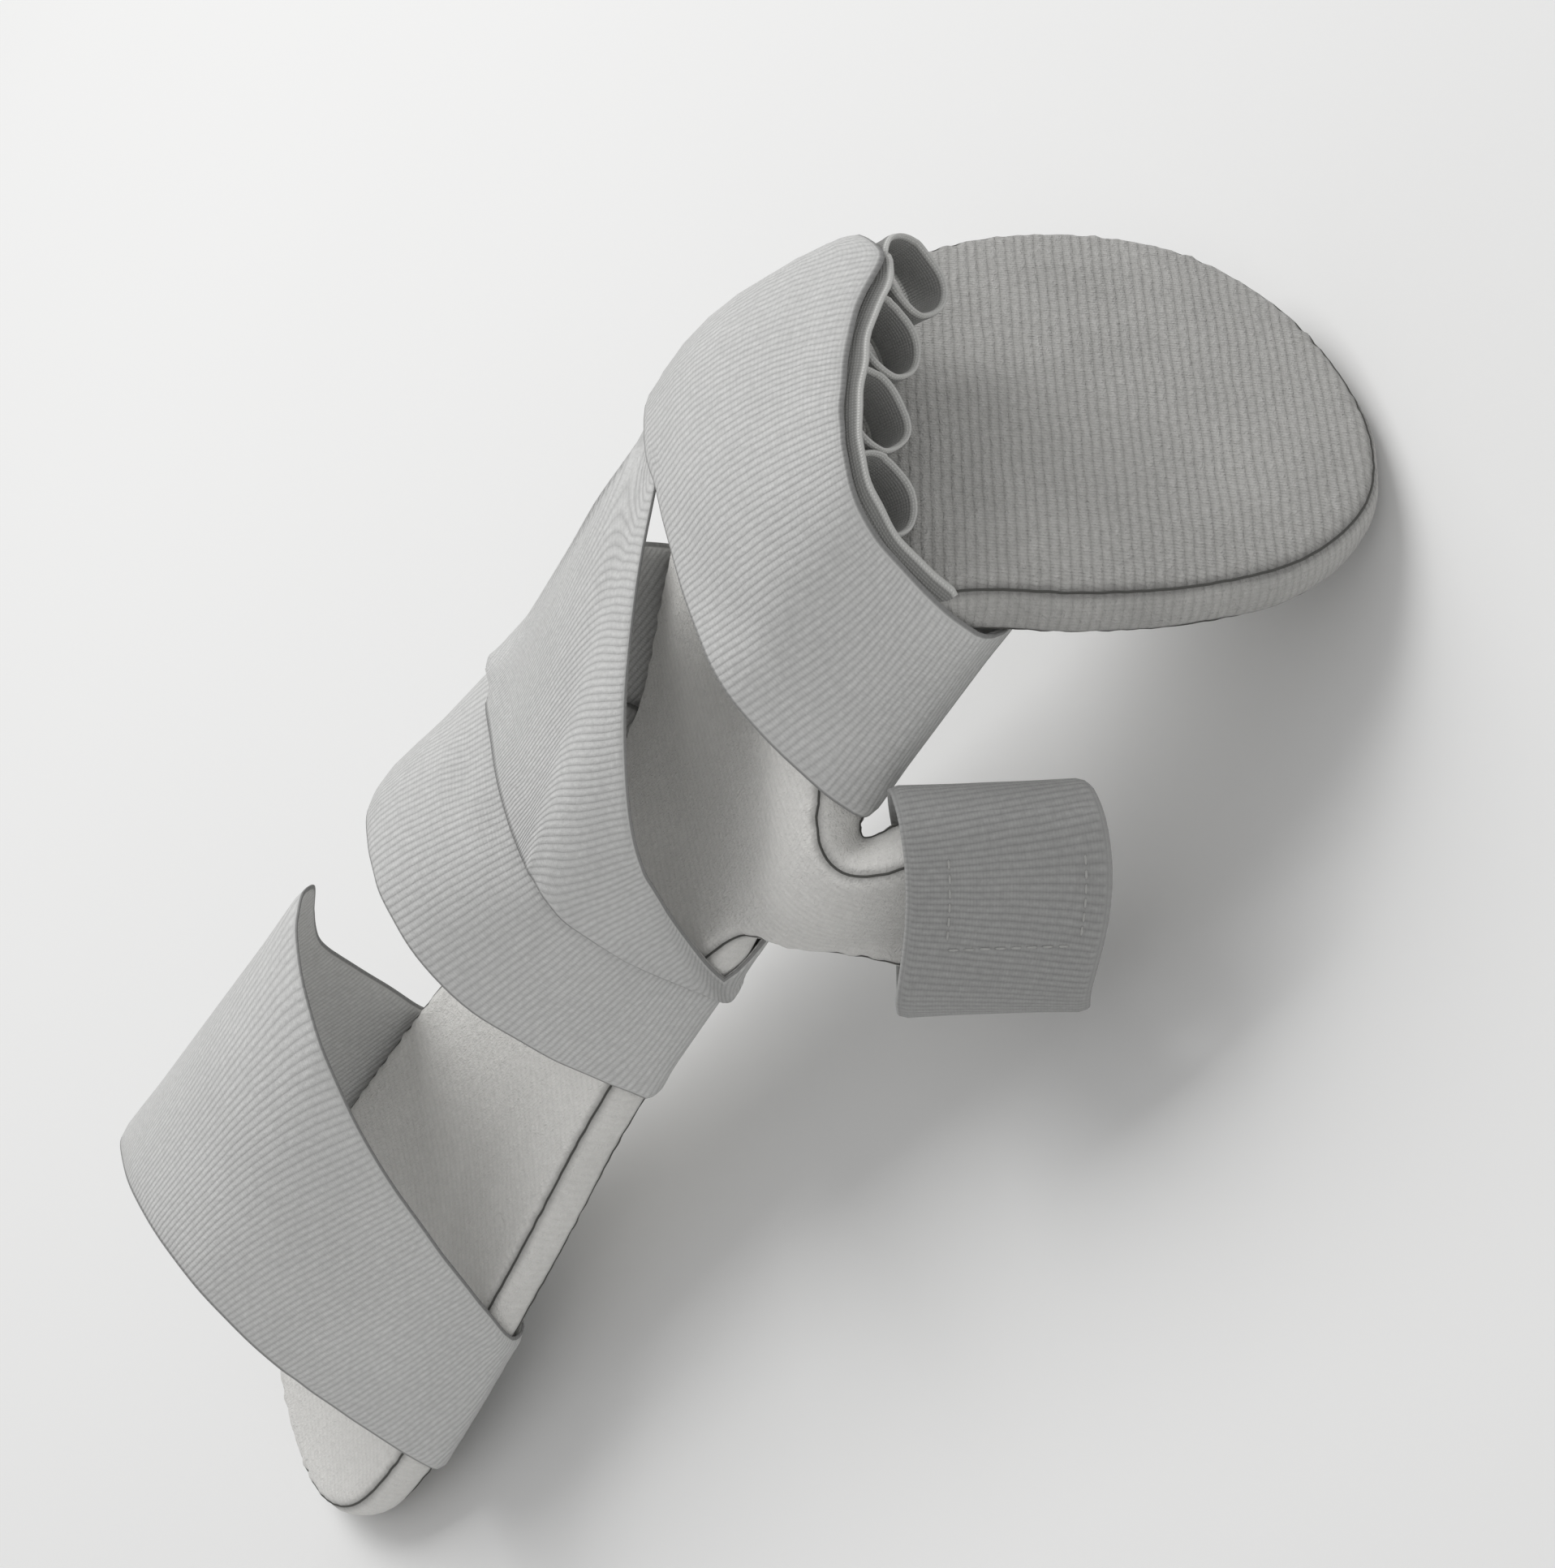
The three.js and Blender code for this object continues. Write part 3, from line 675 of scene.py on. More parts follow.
def wall_skin(
    inner: Array,
    outs: Array,
    thickness: Array,
    margins: Array,
    closed: bool = True,
) -> Skin:
    """A cloth wall of even thickness with softly rounded edges.

    Args:
        inner: points of the inner face, row by row across the cloth and column by column along it.
        outs: outward direction at each point.
        thickness: thickness at each point.
        margins: distance of each row from the cloth's first edge.
        closed: whether the last column meets the first.

    Returns:
        The wall as a skin.
    """
    rows, columns = inner.shape[:2]
    margin = np.minimum(margins, margins[-1] - margins)[:, None]
    soft = thickness * EDGE_ROUND * smoothstep(EDGE_REACH - margin, 0.0, EDGE_REACH)
    outer = inner + outs * (thickness - soft)[..., None]
    lower = inner + outs * soft[..., None]
    far_rim, near_rim = (
        (outer[end] + lower[end]) / 2 + unit(inner[end] - inner[beside]) * EDGE_BULGE
        for end, beside in ((-1, -2), (0, 1))
    )
    ring = np.concatenate([outer, far_rim[None], lower[::-1], near_rim[None]])
    across = np.concatenate([margins, margins[-1:], margins[::-1], margins[:1], margins[:1]])
    from_edge = np.minimum(across, margins[-1] - across)[:-1]
    count = len(ring)
    run = loop_run(outer[rows // 2])
    points = ring.transpose(1, 0, 2).reshape(-1, 3)
    lean = leans(ring, outer[rows // 2], run) if closed else np.zeros((columns, count))
    places = run[:, None] + np.vstack([lean, lean[:1]])
    faces, uvs = tube(places if closed else places[:-1], across, columns)
    if not closed:
        for k, order in ((0, 1), (columns - 1, -1)):
            for j in range(rows - 1):
                a, b = k * count + j, k * count + j + 1
                c, d = k * count + 2 * rows - j - 1, k * count + 2 * rows - j
                face = (a, b, c, d)[::order]
                faces.append(face)
                uvs.append([(run[k], across[n - k * count]) for n in face])
            for n, pair in ((rows, (rows - 1, rows + 1)), (count - 1, (count - 2, 0))):
                face = (k * count + pair[0], k * count + n, k * count + pair[1])[::order]
                faces.append(face)
                uvs.append([(run[k], 0.0)] * 3)
    return Skin(points, faces, uvs, {"from_edge": np.tile(from_edge, columns)})


@dataclass(frozen=True)
class PaddedBoard:
    """Foam board in a knit cover: a top panel, a side band and a bottom panel.

    The wing folds down at a line that is placed and slanted by fold_at, fold_across and
    fold_slant. Its own part of the pattern lies beyond wing_side.
    """

    forearm_length: float = 189.0
    pan_length: float = 95.0
    forearm_width: float = 82.0
    wrist_width: float = 58.0
    palm_width: float = 91.0
    pan_width: float = 110.0
    thickness: float = 11.0
    forearm_dish: float = 5.0
    wing_side: float = -47.3
    wing_width: float = 33.0
    wing_reach: float = 107.0
    wing_start: float = 9.0
    wing_flare: float = 19.0
    fold_at: float = 15.0
    fold_across: float = 34.0
    fold_slant: float = math.radians(25.0)
    fold_radius: float = 14.0
    fold_angle: float = math.radians(78.0)
    outline_step: float = 1.15
    cloth_step: float = 2.6
    crown: float = 0.9
    grain: float = math.radians(18.7)
    seam_radius: float = 0.27
    pucker_lift: float = 0.34
    pucker_proud: float = 0.1
    side_inset: float = 1.0
    seam_inset: float = 1.4
    pucker_at: float = 1.2
    pucker_width: float = 1.3
    pucker: Ripple = Ripple(1.0, 4, (4.1, 5.3, 6.7))
    pucker_drift: Ripple = Ripple(0.5, 5, (29.0, 41.0))
    side_swell: Ripple = Ripple(0.3, 9, (31.0, 47.0, 19.0))
    swell_along: Ripple = Ripple(1.0, 2, (43.0, 27.0, 61.0))
    swell_across: Ripple = Ripple(1.0, 3, (37.0, 23.0))
    sag: float = 0.22
    crown_reach: float = 16.0
    palm_ribs: float = 0.25
    side_ribs: float = 0.6

    def bend(self, flat: Array) -> Array:
        """Carries points of the flat pattern to their bent places.

        Args:
            flat: rows of station, distance across and height over the top face.

        Returns:
            Level points.
        """
        station, across, height = flat.T
        out = np.array([-math.sin(self.fold_slant), -math.cos(self.fold_slant)])
        beyond = (station - self.fold_at) * out[0] + (across + self.fold_across) * out[1]
        low = self.wing_start - self.wing_width / 2
        fade = smoothstep(station, low, self.wing_start + self.wing_width / 4)
        dish = self.forearm_dish * (1.0 - smoothstep(station, -self.forearm_length / 3, 0.0))
        rise = dish * (across / (self.forearm_width / 2)) ** 2
        angle = self.fold_angle * fade
        over = np.maximum(beyond, 0.0)
        turned = np.minimum(over / self.fold_radius, angle)
        rest = over - turned * self.fold_radius
        reach = (self.fold_radius + height) * np.sin(turned) + rest * np.cos(turned)
        fall = self.fold_radius * (1.0 - np.cos(turned)) + rest * np.sin(turned)
        moved = reach - over
        along = station + out[0] * moved
        side = across + out[1] * moved
        level = rise + height * np.cos(turned) - fall
        points, _, up = LINE.at(along)
        bent = points + up * level[:, None]
        palm, forward, palm_up = LINE.at(LINE.wrist_end)
        straight = palm + forward * (along - LINE.wrist_end)[:, None] + palm_up * level[:, None]
        share = (fade * smoothstep(beyond, 0.0, self.fold_radius * 2.0))[:, None]
        bent = bent + (straight - bent) * share
        bent[:, 1] = side
        return bent

    # Knots of the forearm part's side, from the wrist on: the share of its length, and the
    # shares of its own and the wrist's half width that make up the distance across.
    FOREARM_KNOTS = (
        (0.09, 0.0, 1.0), (0.25, 0.2, 0.8), (0.5, 0.93, 0.0), (0.78, 1.0, 0.0),
        (0.9, 0.84, 0.0), (0.975, 0.48, 0.0),
    )
    # Knots of the pan, as shares of its length and half width.
    PAN_KNOTS = (
        (0.22, -0.92), (0.45, -0.96), (0.68, -0.9), (0.87, -0.68), (0.97, -0.36), (1.0, 0.05),
        (0.96, 0.46), (0.84, 0.8), (0.65, 0.98), (0.42, 1.03), (0.18, 0.92),
    )

    def knots(self) -> Array:
        """Knots of the flat outline, each a station and a distance across."""
        forearm, wrist = self.forearm_width / 2, self.wrist_width / 2
        palm, pan = self.palm_width / 2, self.pan_width / 2
        start, width, flare = self.wing_start, self.wing_width, self.wing_flare
        far, reach = start + width, self.wing_reach
        little_side = [
            (-s * self.forearm_length, a * forearm + w * wrist) for s, a, w in self.FOREARM_KNOTS
        ]
        thumb_side = [(station, -across) for station, across in reversed(little_side)]
        tip = [(LINE.pan_start + s * self.pan_length, a * pan) for s, a in self.PAN_KNOTS]
        return np.array([
            (-self.forearm_length, 0.0),
            *thumb_side,
            (start - 0.1 * width, -1.3 * wrist),
            (start, -0.48 * reach),
            (start, -0.7 * reach),
            (start + 0.05 * width, -0.87 * reach),
            (start + 0.22 * width, -0.97 * reach),
            (start + 0.5 * width + flare / 2, -reach),
            (far - 0.2 * width + flare, -0.97 * reach),
            (far - 0.03 * width + flare, -0.87 * reach),
            (far + 0.7 * flare, -0.75 * reach),
            (far + 0.2 * flare, -0.62 * reach),
            (far + 0.05 * width, -1.28 * palm),
            (far + 0.22 * width, -1.13 * palm),
            (far + 0.5 * width, -1.05 * palm),
            (LINE.palm_end, -palm),
            (LINE.pan_start, -palm),
            *tip,
            (LINE.pan_start, 0.86 * palm),
            (LINE.palm_end, 0.77 * palm),
            (LINE.wrist_end + 0.45 * LINE.palm_length, 0.76 * palm),
            (LINE.wrist_end, 1.08 * wrist),
            *little_side,
        ])

    # Section of the cover's edge from the bottom panel round the side band to the top panel.
    # Each row is the distance in from the outline, the height over the top face, and the
    # distance along the cloth from the nearer seam.
    EDGE_ROWS = (
        (4.2, -11.0, 3.2), (2.9, -10.9, 1.8), (1.9, -10.5, 0.8), (1.35, -9.9, 0.0),
        (0.75, -9.5, 0.7), (0.2, -8.6, 1.8), (-0.15, -7.2, 3.2), (-0.25, -5.6, 4.2),
        (-0.15, -4.0, 3.2), (0.2, -2.6, 1.8), (0.8, -1.6, 0.7), (1.45, -1.15, 0.0),
        (1.9, -0.5, 0.8), (2.8, 0.1, 1.8), (4.2, 0.6, 3.2),
    )
    BOTTOM_SEAM = 3
    TOP_SEAM = 11

    def edge_rings(self, outline: Array) -> Pair:
        """Rings of flat points round the cover's edge, and the outline's distances."""
        run = loop_run(outline)
        ahead = ahead_on(outline)
        outward = np.column_stack([ahead[:, 1], -ahead[:, 0]])
        pucker = self.pucker.along(run[:-1]) * (1.0 + self.pucker_drift.along(run[:-1]))
        swell = self.side_swell.along(run[:-1])
        rings = []
        for inset, height, margin in self.EDGE_ROWS:
            near = pucker * math.exp(-((margin - self.pucker_at) / self.pucker_width) ** 2)
            away = 1.0 if height > -self.thickness / 2 else -1.0
            lift = self.pucker_lift * near * away * (inset > self.side_inset)
            proud = self.pucker_proud * near + swell * (inset < self.side_inset)
            flat = outline + outward * (proud - inset)[:, None]
            rings.append(np.column_stack([flat, height + lift]))
        return np.array(rings), run

    def on_cloth(self, spot: Array) -> tuple[float, float]:
        """Place of a flat point on the cover's cloth, whose ribs slant across the board."""
        station, across = spot[:2]
        turn, rise = math.cos(self.grain), math.sin(self.grain)
        return station * turn - across * rise, station * rise + across * turn

    def inner_points(self, outline: Array, inset: float) -> Pair:
        """Even points over the flat pattern that lie further in than a distance, with that distance."""
        low, high = outline.min(axis=0), outline.max(axis=0)
        pitch = self.cloth_step * math.sqrt(3.0) / 2.0
        rows = []
        for n, across in enumerate(np.arange(low[1], high[1], pitch)):
            stations = np.arange(low[0] + (n % 2) * self.cloth_step / 2, high[0], self.cloth_step)
            rows.append(np.column_stack([stations, np.full_like(stations, across)]))
        spots = np.concatenate(rows)
        ahead = np.roll(outline, -1, axis=0)
        above = (outline[:, 1] > spots[:, 1:2]) != (ahead[:, 1] > spots[:, 1:2])
        rise = ahead[:, 1] - outline[:, 1]
        rise = np.where(rise == 0.0, 1e-9, rise)
        crossing = outline[:, 0] + (spots[:, 1:2] - outline[:, 1]) / rise * (ahead[:, 0] - outline[:, 0])
        inside = (above & (spots[:, :1] < crossing)).sum(axis=1) % 2 == 1
        spots = spots[inside]
        distance = np.sqrt(((spots[:, None, :] - outline[None]) ** 2).sum(axis=2)).min(axis=1)
        keep = distance > inset + 0.5 * self.cloth_step
        return spots[keep], distance[keep]

    def skin(self) -> tuple[Skin, list[Array]]:
        """The whole cover.

        Returns:
            The cover's skin, and the two seams as closed lines of level points.
        """
        outline = smooth_loop(self.knots(), self.outline_step)
        rings, run = self.edge_rings(outline)
        sides = len(outline)
        flat = [rings.reshape(-1, 3)]
        seam_far = [np.repeat([row[2] for row in self.EDGE_ROWS], sides)]
        faces, uvs = [], []
        for j in range(len(rings) - 1):
            band = self.BOTTOM_SEAM <= j < self.TOP_SEAM
            for i in range(sides):
                after = (i + 1) % sides
                corners = ((j, i), (j, after), (j + 1, after), (j + 1, i))
                faces.append(tuple(r * sides + c for r, c in corners))
                if band:
                    marks = (run[i], run[i + 1], run[i + 1], run[i])
                    uvs.append([(m, rings[r, c, 2]) for m, (r, c) in zip(marks, corners)])
                else:
                    uvs.append([self.on_cloth(rings[r, c]) for r, c in corners])
        spots, distance = self.inner_points(outline, self.EDGE_ROWS[0][0])
        swell = self.swell_along.along(spots[:, 0]) * self.swell_across.along(spots[:, 1])
        base = len(rings) * sides
        for panel, ring in (("bottom", 0), ("top", len(rings) - 1)):
            edge = rings[ring]
            start = self.EDGE_ROWS[ring][1]
            rise = smoothstep(distance, self.EDGE_ROWS[ring][0], self.crown_reach)
            crown = self.crown if panel == "top" else 0.0
            height = start + (crown + self.sag * swell) * rise
            plane = [Vector(p) for p in np.vstack([edge[:, :2], spots])]
            ties = [(i, (i + 1) % sides) for i in range(sides)]
            _, _, triangles, origins, _, _ = delaunay_2d_cdt(plane, ties, [], 1, 1e-4)
            number = [ring * sides + o[0] if o[0] < sides else base + o[0] - sides for o in origins]
            for triangle in triangles:
                face = tuple(number[n] for n in triangle)
                faces.append(face if panel == "top" else face[::-1])
            flat.append(np.column_stack([spots, height]))
            seam_far.append(distance - self.seam_inset)
            base += len(spots)
        flat = np.concatenate(flat)
        for face in faces[len(uvs):]:
            uvs.append([self.on_cloth(flat[n]) for n in face])
        # The pan share sets the ribs' strength and the painted shade on the pan.
        pan = smoothstep(flat[:, 0], LINE.palm_end, LINE.pan_start)
        ribs = mixed(self.palm_ribs, 1.0, pan)
        first, last = (row * sides for row in (self.BOTTOM_SEAM + 1, self.TOP_SEAM))
        ribs[first:last] *= self.side_ribs
        # from_seam sets the painted shadow along the seams.
        values = {"ribs": ribs, "pan": pan, "from_seam": np.concatenate(seam_far)}
        points = self.bend(flat)
        seams = [points[r * sides:(r + 1) * sides] for r in (self.BOTTOM_SEAM, self.TOP_SEAM)]
        return Skin(points, faces, uvs, values), seams


BOARD = PaddedBoard()


def rings_round(path: Array, ahead: Array, radii: Array | float, guide: tuple) -> Array:
    """Rings of points round the points of a thread.

    Args:
        path: the thread's points.
        ahead: the direction or directions along it.
        radii: its radius, or one for each point.
        guide: a direction that settles where each ring starts.

    Returns:
        The points, ring by ring.
    """
    first = unit(np.cross(ahead, np.array(guide)))
    second = np.cross(ahead, first)
    spokes = [math.cos(a) * first + math.sin(a) * second for a in even_angles(THREAD_SIDES)]
    return np.stack([path + radii * spoke for spoke in spokes], axis=1).reshape(-1, 3)


def thread_tube(run: Array, columns: int) -> Faces:
    """Faces of a thread and their places, by the distance along it."""
    return tube(np.tile(run[:, None], THREAD_SIDES), np.arange(THREAD_SIDES + 1), columns)


def cord_skin(path: Array, radius: float) -> Skin:
    """A thin round cord along a closed line."""
    points = rings_round(path, ahead_on(path), radius, CORD_GUIDE)
    return Skin(points, *thread_tube(loop_run(path), len(path)))


@dataclass(frozen=True)
class RoomSection:
    """A section of the room that the bands close round, standing on the board's top face."""

    station: float
    half: float
    height: float
    shift: float


ROOM = (
    RoomSection(-200.0, 41.0, 75.0, 0.0),
    RoomSection(-120.0, 38.0, 66.0, 1.0),
    RoomSection(-60.0, 31.0, 60.0, 2.0),
    RoomSection(-12.0, 29.0, 53.0, 3.0),
    RoomSection(30.0, 34.0, 32.0, 0.0),
    RoomSection(60.0, 35.0, 26.0, -3.0),
    RoomSection(80.0, 35.0, 16.0, -4.0),
    RoomSection(100.0, 33.0, 26.0, -5.0),
    RoomSection(112.0, 34.0, 29.0, 0.0),
)


class Sleeve:
    """What the bands are pulled tight round: the board and the room on it, as edges to cut."""

    sides = 48
    room_step = 4.0
    reach = 85.0
    pan_margin = 12.0

    def __init__(self, triangles: Array) -> None:
        """Collects the edges.

        Args:
            triangles: the board's solid as level triangles.
        """
        root, along, _ = LINE.at(LINE.pan_start)
        web_end = BOARD.wing_start + BOARD.wing_width + BOARD.wing_flare / 2
        limit = np.where(triangles[..., 0] > web_end, -BOARD.pan_width / 2, BOARD.wing_side)
        free = (triangles[..., 1] > limit) & ((triangles - root) @ along < self.pan_margin)
        kept = triangles[free.all(axis=1)]
        edges = [kept[:, [a, b]] for a, b in ((0, 1), (1, 2), (2, 0))]
        self.edges = np.concatenate(edges + [self.room_edges()])

    def room_edges(self) -> Array:
        """Edges of the room's skin."""
        known = np.array([(r.station, r.half, r.height, r.shift) for r in ROOM])
        count = int((known[-1, 0] - known[0, 0]) / self.room_step) + 1
        stations = np.linspace(known[0, 0], known[-1, 0], count)
        half, height, shift = (np.interp(stations, known[:, 0], known[:, k])[:, None] for k in (1, 2, 3))
        points, _, up = LINE.at(stations)
        angles = even_angles(self.sides)
        rings = points[:, None] + up[:, None] * (height / 2 * (1.0 + np.sin(angles)))[..., None]
        rings[..., 1] += shift + half * np.cos(angles)
        around = np.stack([rings, np.roll(rings, -1, axis=1)], axis=2).reshape(-1, 2, 3)
        along = np.stack([rings[:-1], rings[1:]], axis=2).reshape(-1, 2, 3)
        return np.concatenate([around, along])

    def section(self, point: Array, normal: Array) -> Array:
        """Where a plane cuts the edges, counted from a point of the plane."""
        side = (self.edges - point) @ normal
        cut = side[:, 0] * side[:, 1] < 0.0
        edges, side = self.edges[cut], side[cut]
        share = (side[:, 0] / (side[:, 0] - side[:, 1]))[:, None]
        spots = edges[:, 0] + (edges[:, 1] - edges[:, 0]) * share - point
        return spots[np.linalg.norm(spots, axis=1) < self.reach]


@dataclass(frozen=True)
class EdgePlane:
    """A plane that holds a band's edge: where it passes the board's line, and its slants."""

    station: float
    lean: float
    turn: float

    def placed(self) -> Pair:
        """Point and normal of the plane."""
        point, along, up = LINE.at(self.station)
        slant = up * math.tan(math.radians(self.lean))
        swing = SIDEWAYS * math.tan(math.radians(self.turn))
        return point, unit(along + slant + swing)


class Facing(Enum):
    """Which side of a band is its front: heading in degrees, and the easing's limits."""

    BROAD = (125.0, -0.55, 0.2)
    NARROW = (140.0, -0.26, 0.34)
    THUMB_SIDE = (150.0, -0.2, 0.5)

    def share(self, angle: float) -> float:
        """How much of the front plane holds at an angle."""
        heading, low, high = self.value
        return float(smoothstep(math.cos(angle - math.radians(heading)), low, high))


@dataclass(frozen=True)
class BandEdge:
    """One edge of a band: its plane over the room and behind the board, and bands beneath."""

    front: EdgePlane
    back: EdgePlane
    layers: int

    def plane(self, front: float) -> Pair:
        """The plane that holds where the front counts for a share."""
        (point, normal), (other, slope) = self.back.placed(), self.front.placed()
        return mixed(point, other, front), unit(mixed(normal, slope, front))


def in_plane(normal: Array) -> Pair:
    """Directions across and up within a plane."""
    across = unit(SIDEWAYS - normal * (SIDEWAYS @ normal))
    return across, np.cross(normal, across)


@dataclass(frozen=True)
class Lap:
    """Where a band's loose end is fastened down on itself, behind the board."""

    heading: float
    length: float
    raised: float = 1.3


@dataclass(frozen=True)
class ElasticBand:
    """An elastic band round the board and the room beside it.

    It is cut into planes between its two edges. In each plane the outline of what the band goes
    round is rounded by a bell curve of that roundness. Then it is pushed outward in passes,
    until it clears what it lies on, and its edges are made slightly loose.
    """

    name: str
    facing: Facing
    near: BandEdge
    far: BandEdge
    lap: Lap
    thickness: float = 1.6
    gap: float = 0.3
    headings: int = 150
    roundness: float = math.radians(5.0)
    spreads: float = 2.5
    samples: int = 17
    cuts: int = 8
    rows: int = 25
    step: float = 1.8
    passes: int = 6
    search: float = 9.0
    lap_ramps: tuple[float, float] = (1.2, 9.0)
    settled: float = 0.05
    spill: float = 0.9
    spill_spread: float = 1.5
    push_spread: float = 0.8
    loose: Ripple = Ripple(0.28, 0, (23.0, 37.0, 14.0))
    loose_edge: tuple[float, float] = (0.25, 0.5)

    def grid(self, sleeve: Sleeve) -> Pair:
        """Inner face and outward directions, by cut and heading."""
        angles = even_angles(self.headings)
        spread = self.roundness * np.linspace(-self.spreads, self.spreads, self.samples)
        weights = bell(spread, self.roundness)
        slopes = weights * spread / self.roundness**2
        outs = np.zeros((self.cuts + 1, self.headings, 3))
        touch = np.zeros_like(outs)
        for k, angle in enumerate(angles):
            front = self.facing.share(angle)
            (start, first), (end, last) = self.near.plane(front), self.far.plane(front)
            for i in range(self.cuts + 1):
                share = i / self.cuts
                point, normal = mixed(start, end, share), unit(mixed(first, last, share))
                across, up = in_plane(normal)
                headings = np.outer(across, np.cos(angle + spread)) + np.outer(up, np.sin(angle + spread))
                reach = (sleeve.section(point, normal) @ headings).max(axis=0)
                outs[i, k] = across * math.cos(angle) + up * math.sin(angle)
                sideways = up * math.cos(angle) - across * math.sin(angle)
                touch[i, k] = point + outs[i, k] * (weights @ reach) + sideways * (slopes @ reach)
        shares = np.linspace(0.0, 1.0, self.cuts + 1)[:, None, None]
        base = mixed(touch[0], touch[-1], shares)
        proud = np.maximum(((touch - base) * outs).sum(axis=2), 0.0)
        layers = mixed(self.near.layers, self.far.layers, shares[..., 0])
        lift = proud + self.gap + layers * (self.thickness + self.gap)
        return base + outs * lift[..., None], outs

    def even(self, inner: Array, outs: Array) -> Pair:
        """The same grid with even columns and more rows."""
        run = loop_run(inner[self.cuts // 2])
        marks = np.linspace(0.0, run[-1], int(run[-1] / self.step), endpoint=False)
        heights = np.linspace(0.0, self.cuts, self.rows)
        spread = []
        for values in (inner, outs):
            closed = np.concatenate([values, values[:, :1]], axis=1)
            columns = np.stack([at_marks(marks, run, row) for row in closed])
            low = np.minimum(heights.astype(int), self.cuts - 1)
            share = (heights - low)[:, None, None]
            spread.append(mixed(columns[low], columns[low + 1], share))
        return spread[0], unit(spread[1])

    def eased(self, inner: Array, outs: Array, below: list[BVHTree]) -> Array:
        """The inner face pushed off what lies below it."""
        push = np.zeros(inner.shape[:2])
        for _ in range(self.passes):
            now = inner + outs * push[..., None]
            need = np.zeros_like(push)
            for tree in below:
                for (i, k), _ in np.ndenumerate(push):
                    spot, normal, _, far = tree.find_nearest(now[i, k].tolist(), self.search)
                    if spot is None:
                        continue
                    clear = (Vector(now[i, k]) - spot).dot(normal)
                    clear = far if clear > 0.0 else -far
                    need[i, k] = max(need[i, k], self.gap - clear)
            if need.max() < self.settled:
                break
            push += np.maximum(need, self.spill * soften(need, self.spill_spread, axis=1))
        return inner + outs * soften(push, self.push_spread, axis=1)[..., None]

    def lapped(self, inner: Array, outs: Array) -> Array:
        """Thickness of the wall, greater where the loose end lies on it."""
        middle = inner.mean(axis=(0, 1))
        spots = inner[self.rows // 2] - middle
        angle = np.degrees(np.arctan2(spots[:, 2], spots[:, 1])) % 360.0
        run = loop_run(inner[self.rows // 2])
        start = int(np.argmin(np.abs(angle - self.lap.heading % 360.0)))
        along = (run[:-1] - run[start]) % run[-1]
        length, (first, last) = self.lap.length, self.lap_ramps
        rise = smoothstep(along, 0.0, first) * (1.0 - smoothstep(along, length, length + last))
        return self.thickness + self.lap.raised * np.tile(rise, (self.rows, 1))

    def skin(self, sleeve: Sleeve, below: list[BVHTree]) -> tuple[Skin, Array, Array]:
        """The band's surface.

        Args:
            sleeve: what the band is pulled tight round.
            below: surfaces that it must clear.

        Returns:
            The skin, and the inner face with its outward directions.
        """
        inner, outs = self.even(*self.grid(sleeve))
        inner = self.eased(inner, outs, below)
        run = loop_run(inner[self.rows // 2])[:-1]
        width = np.linalg.norm(inner[1:] - inner[:-1], axis=2).mean(axis=1)
        margins = np.concatenate([[0.0], np.cumsum(width)])
        loose = self.loose.depth + self.loose.along(run, sum(map(ord, self.name)))
        edge = smoothstep(np.abs(margins / margins[-1] - 0.5), *self.loose_edge)[:, None]
        inner = inner + outs * (loose * edge)[..., None]
        return wall_skin(inner, outs, self.lapped(inner, outs), margins), inner, outs


BANDS = (
    ElasticBand(
        "forearm_strap",
        Facing.BROAD,
        near=BandEdge(EdgePlane(-151.5, -28.0, 11.0), EdgePlane(-152.0, -22.0, 10.0), 0),
        far=BandEdge(EdgePlane(-92.5, -37.0, -14.0), EdgePlane(-97.0, -26.0, -9.0), 0),
        lap=Lap(250.0, 52.0),
    ),
    ElasticBand(
        "wrist_strap",
        Facing.BROAD,
        near=BandEdge(EdgePlane(-35.0, -14.5, -9.0), EdgePlane(-38.0, -8.0, -4.0), 0),
        far=BandEdge(EdgePlane(2.0, -23.0, -20.0), EdgePlane(-2.0, -8.0, -12.0), 0),
        lap=Lap(250.0, 40.0),
    ),
    ElasticBand(
        "crossing_strap",
        Facing.THUMB_SIDE,
        near=BandEdge(EdgePlane(-1.0, -15.0, -15.5), EdgePlane(-6.0, -12.0, -14.0), 1),
        far=BandEdge(EdgePlane(45.0, -55.0, -58.0), EdgePlane(22.0, -12.0, -32.0), 0),
        lap=Lap(262.0, 36.0),
    ),
    ElasticBand(
        "hand_strap",
        Facing.NARROW,
        near=BandEdge(EdgePlane(70.0, -30.0, -14.0), EdgePlane(68.0, -18.0, -13.0), 1),
        far=BandEdge(EdgePlane(137.0, 53.0, -38.5), EdgePlane(107.0, 7.5, 4.2), 0),
        lap=Lap(262.0, 40.0),
    ),
)


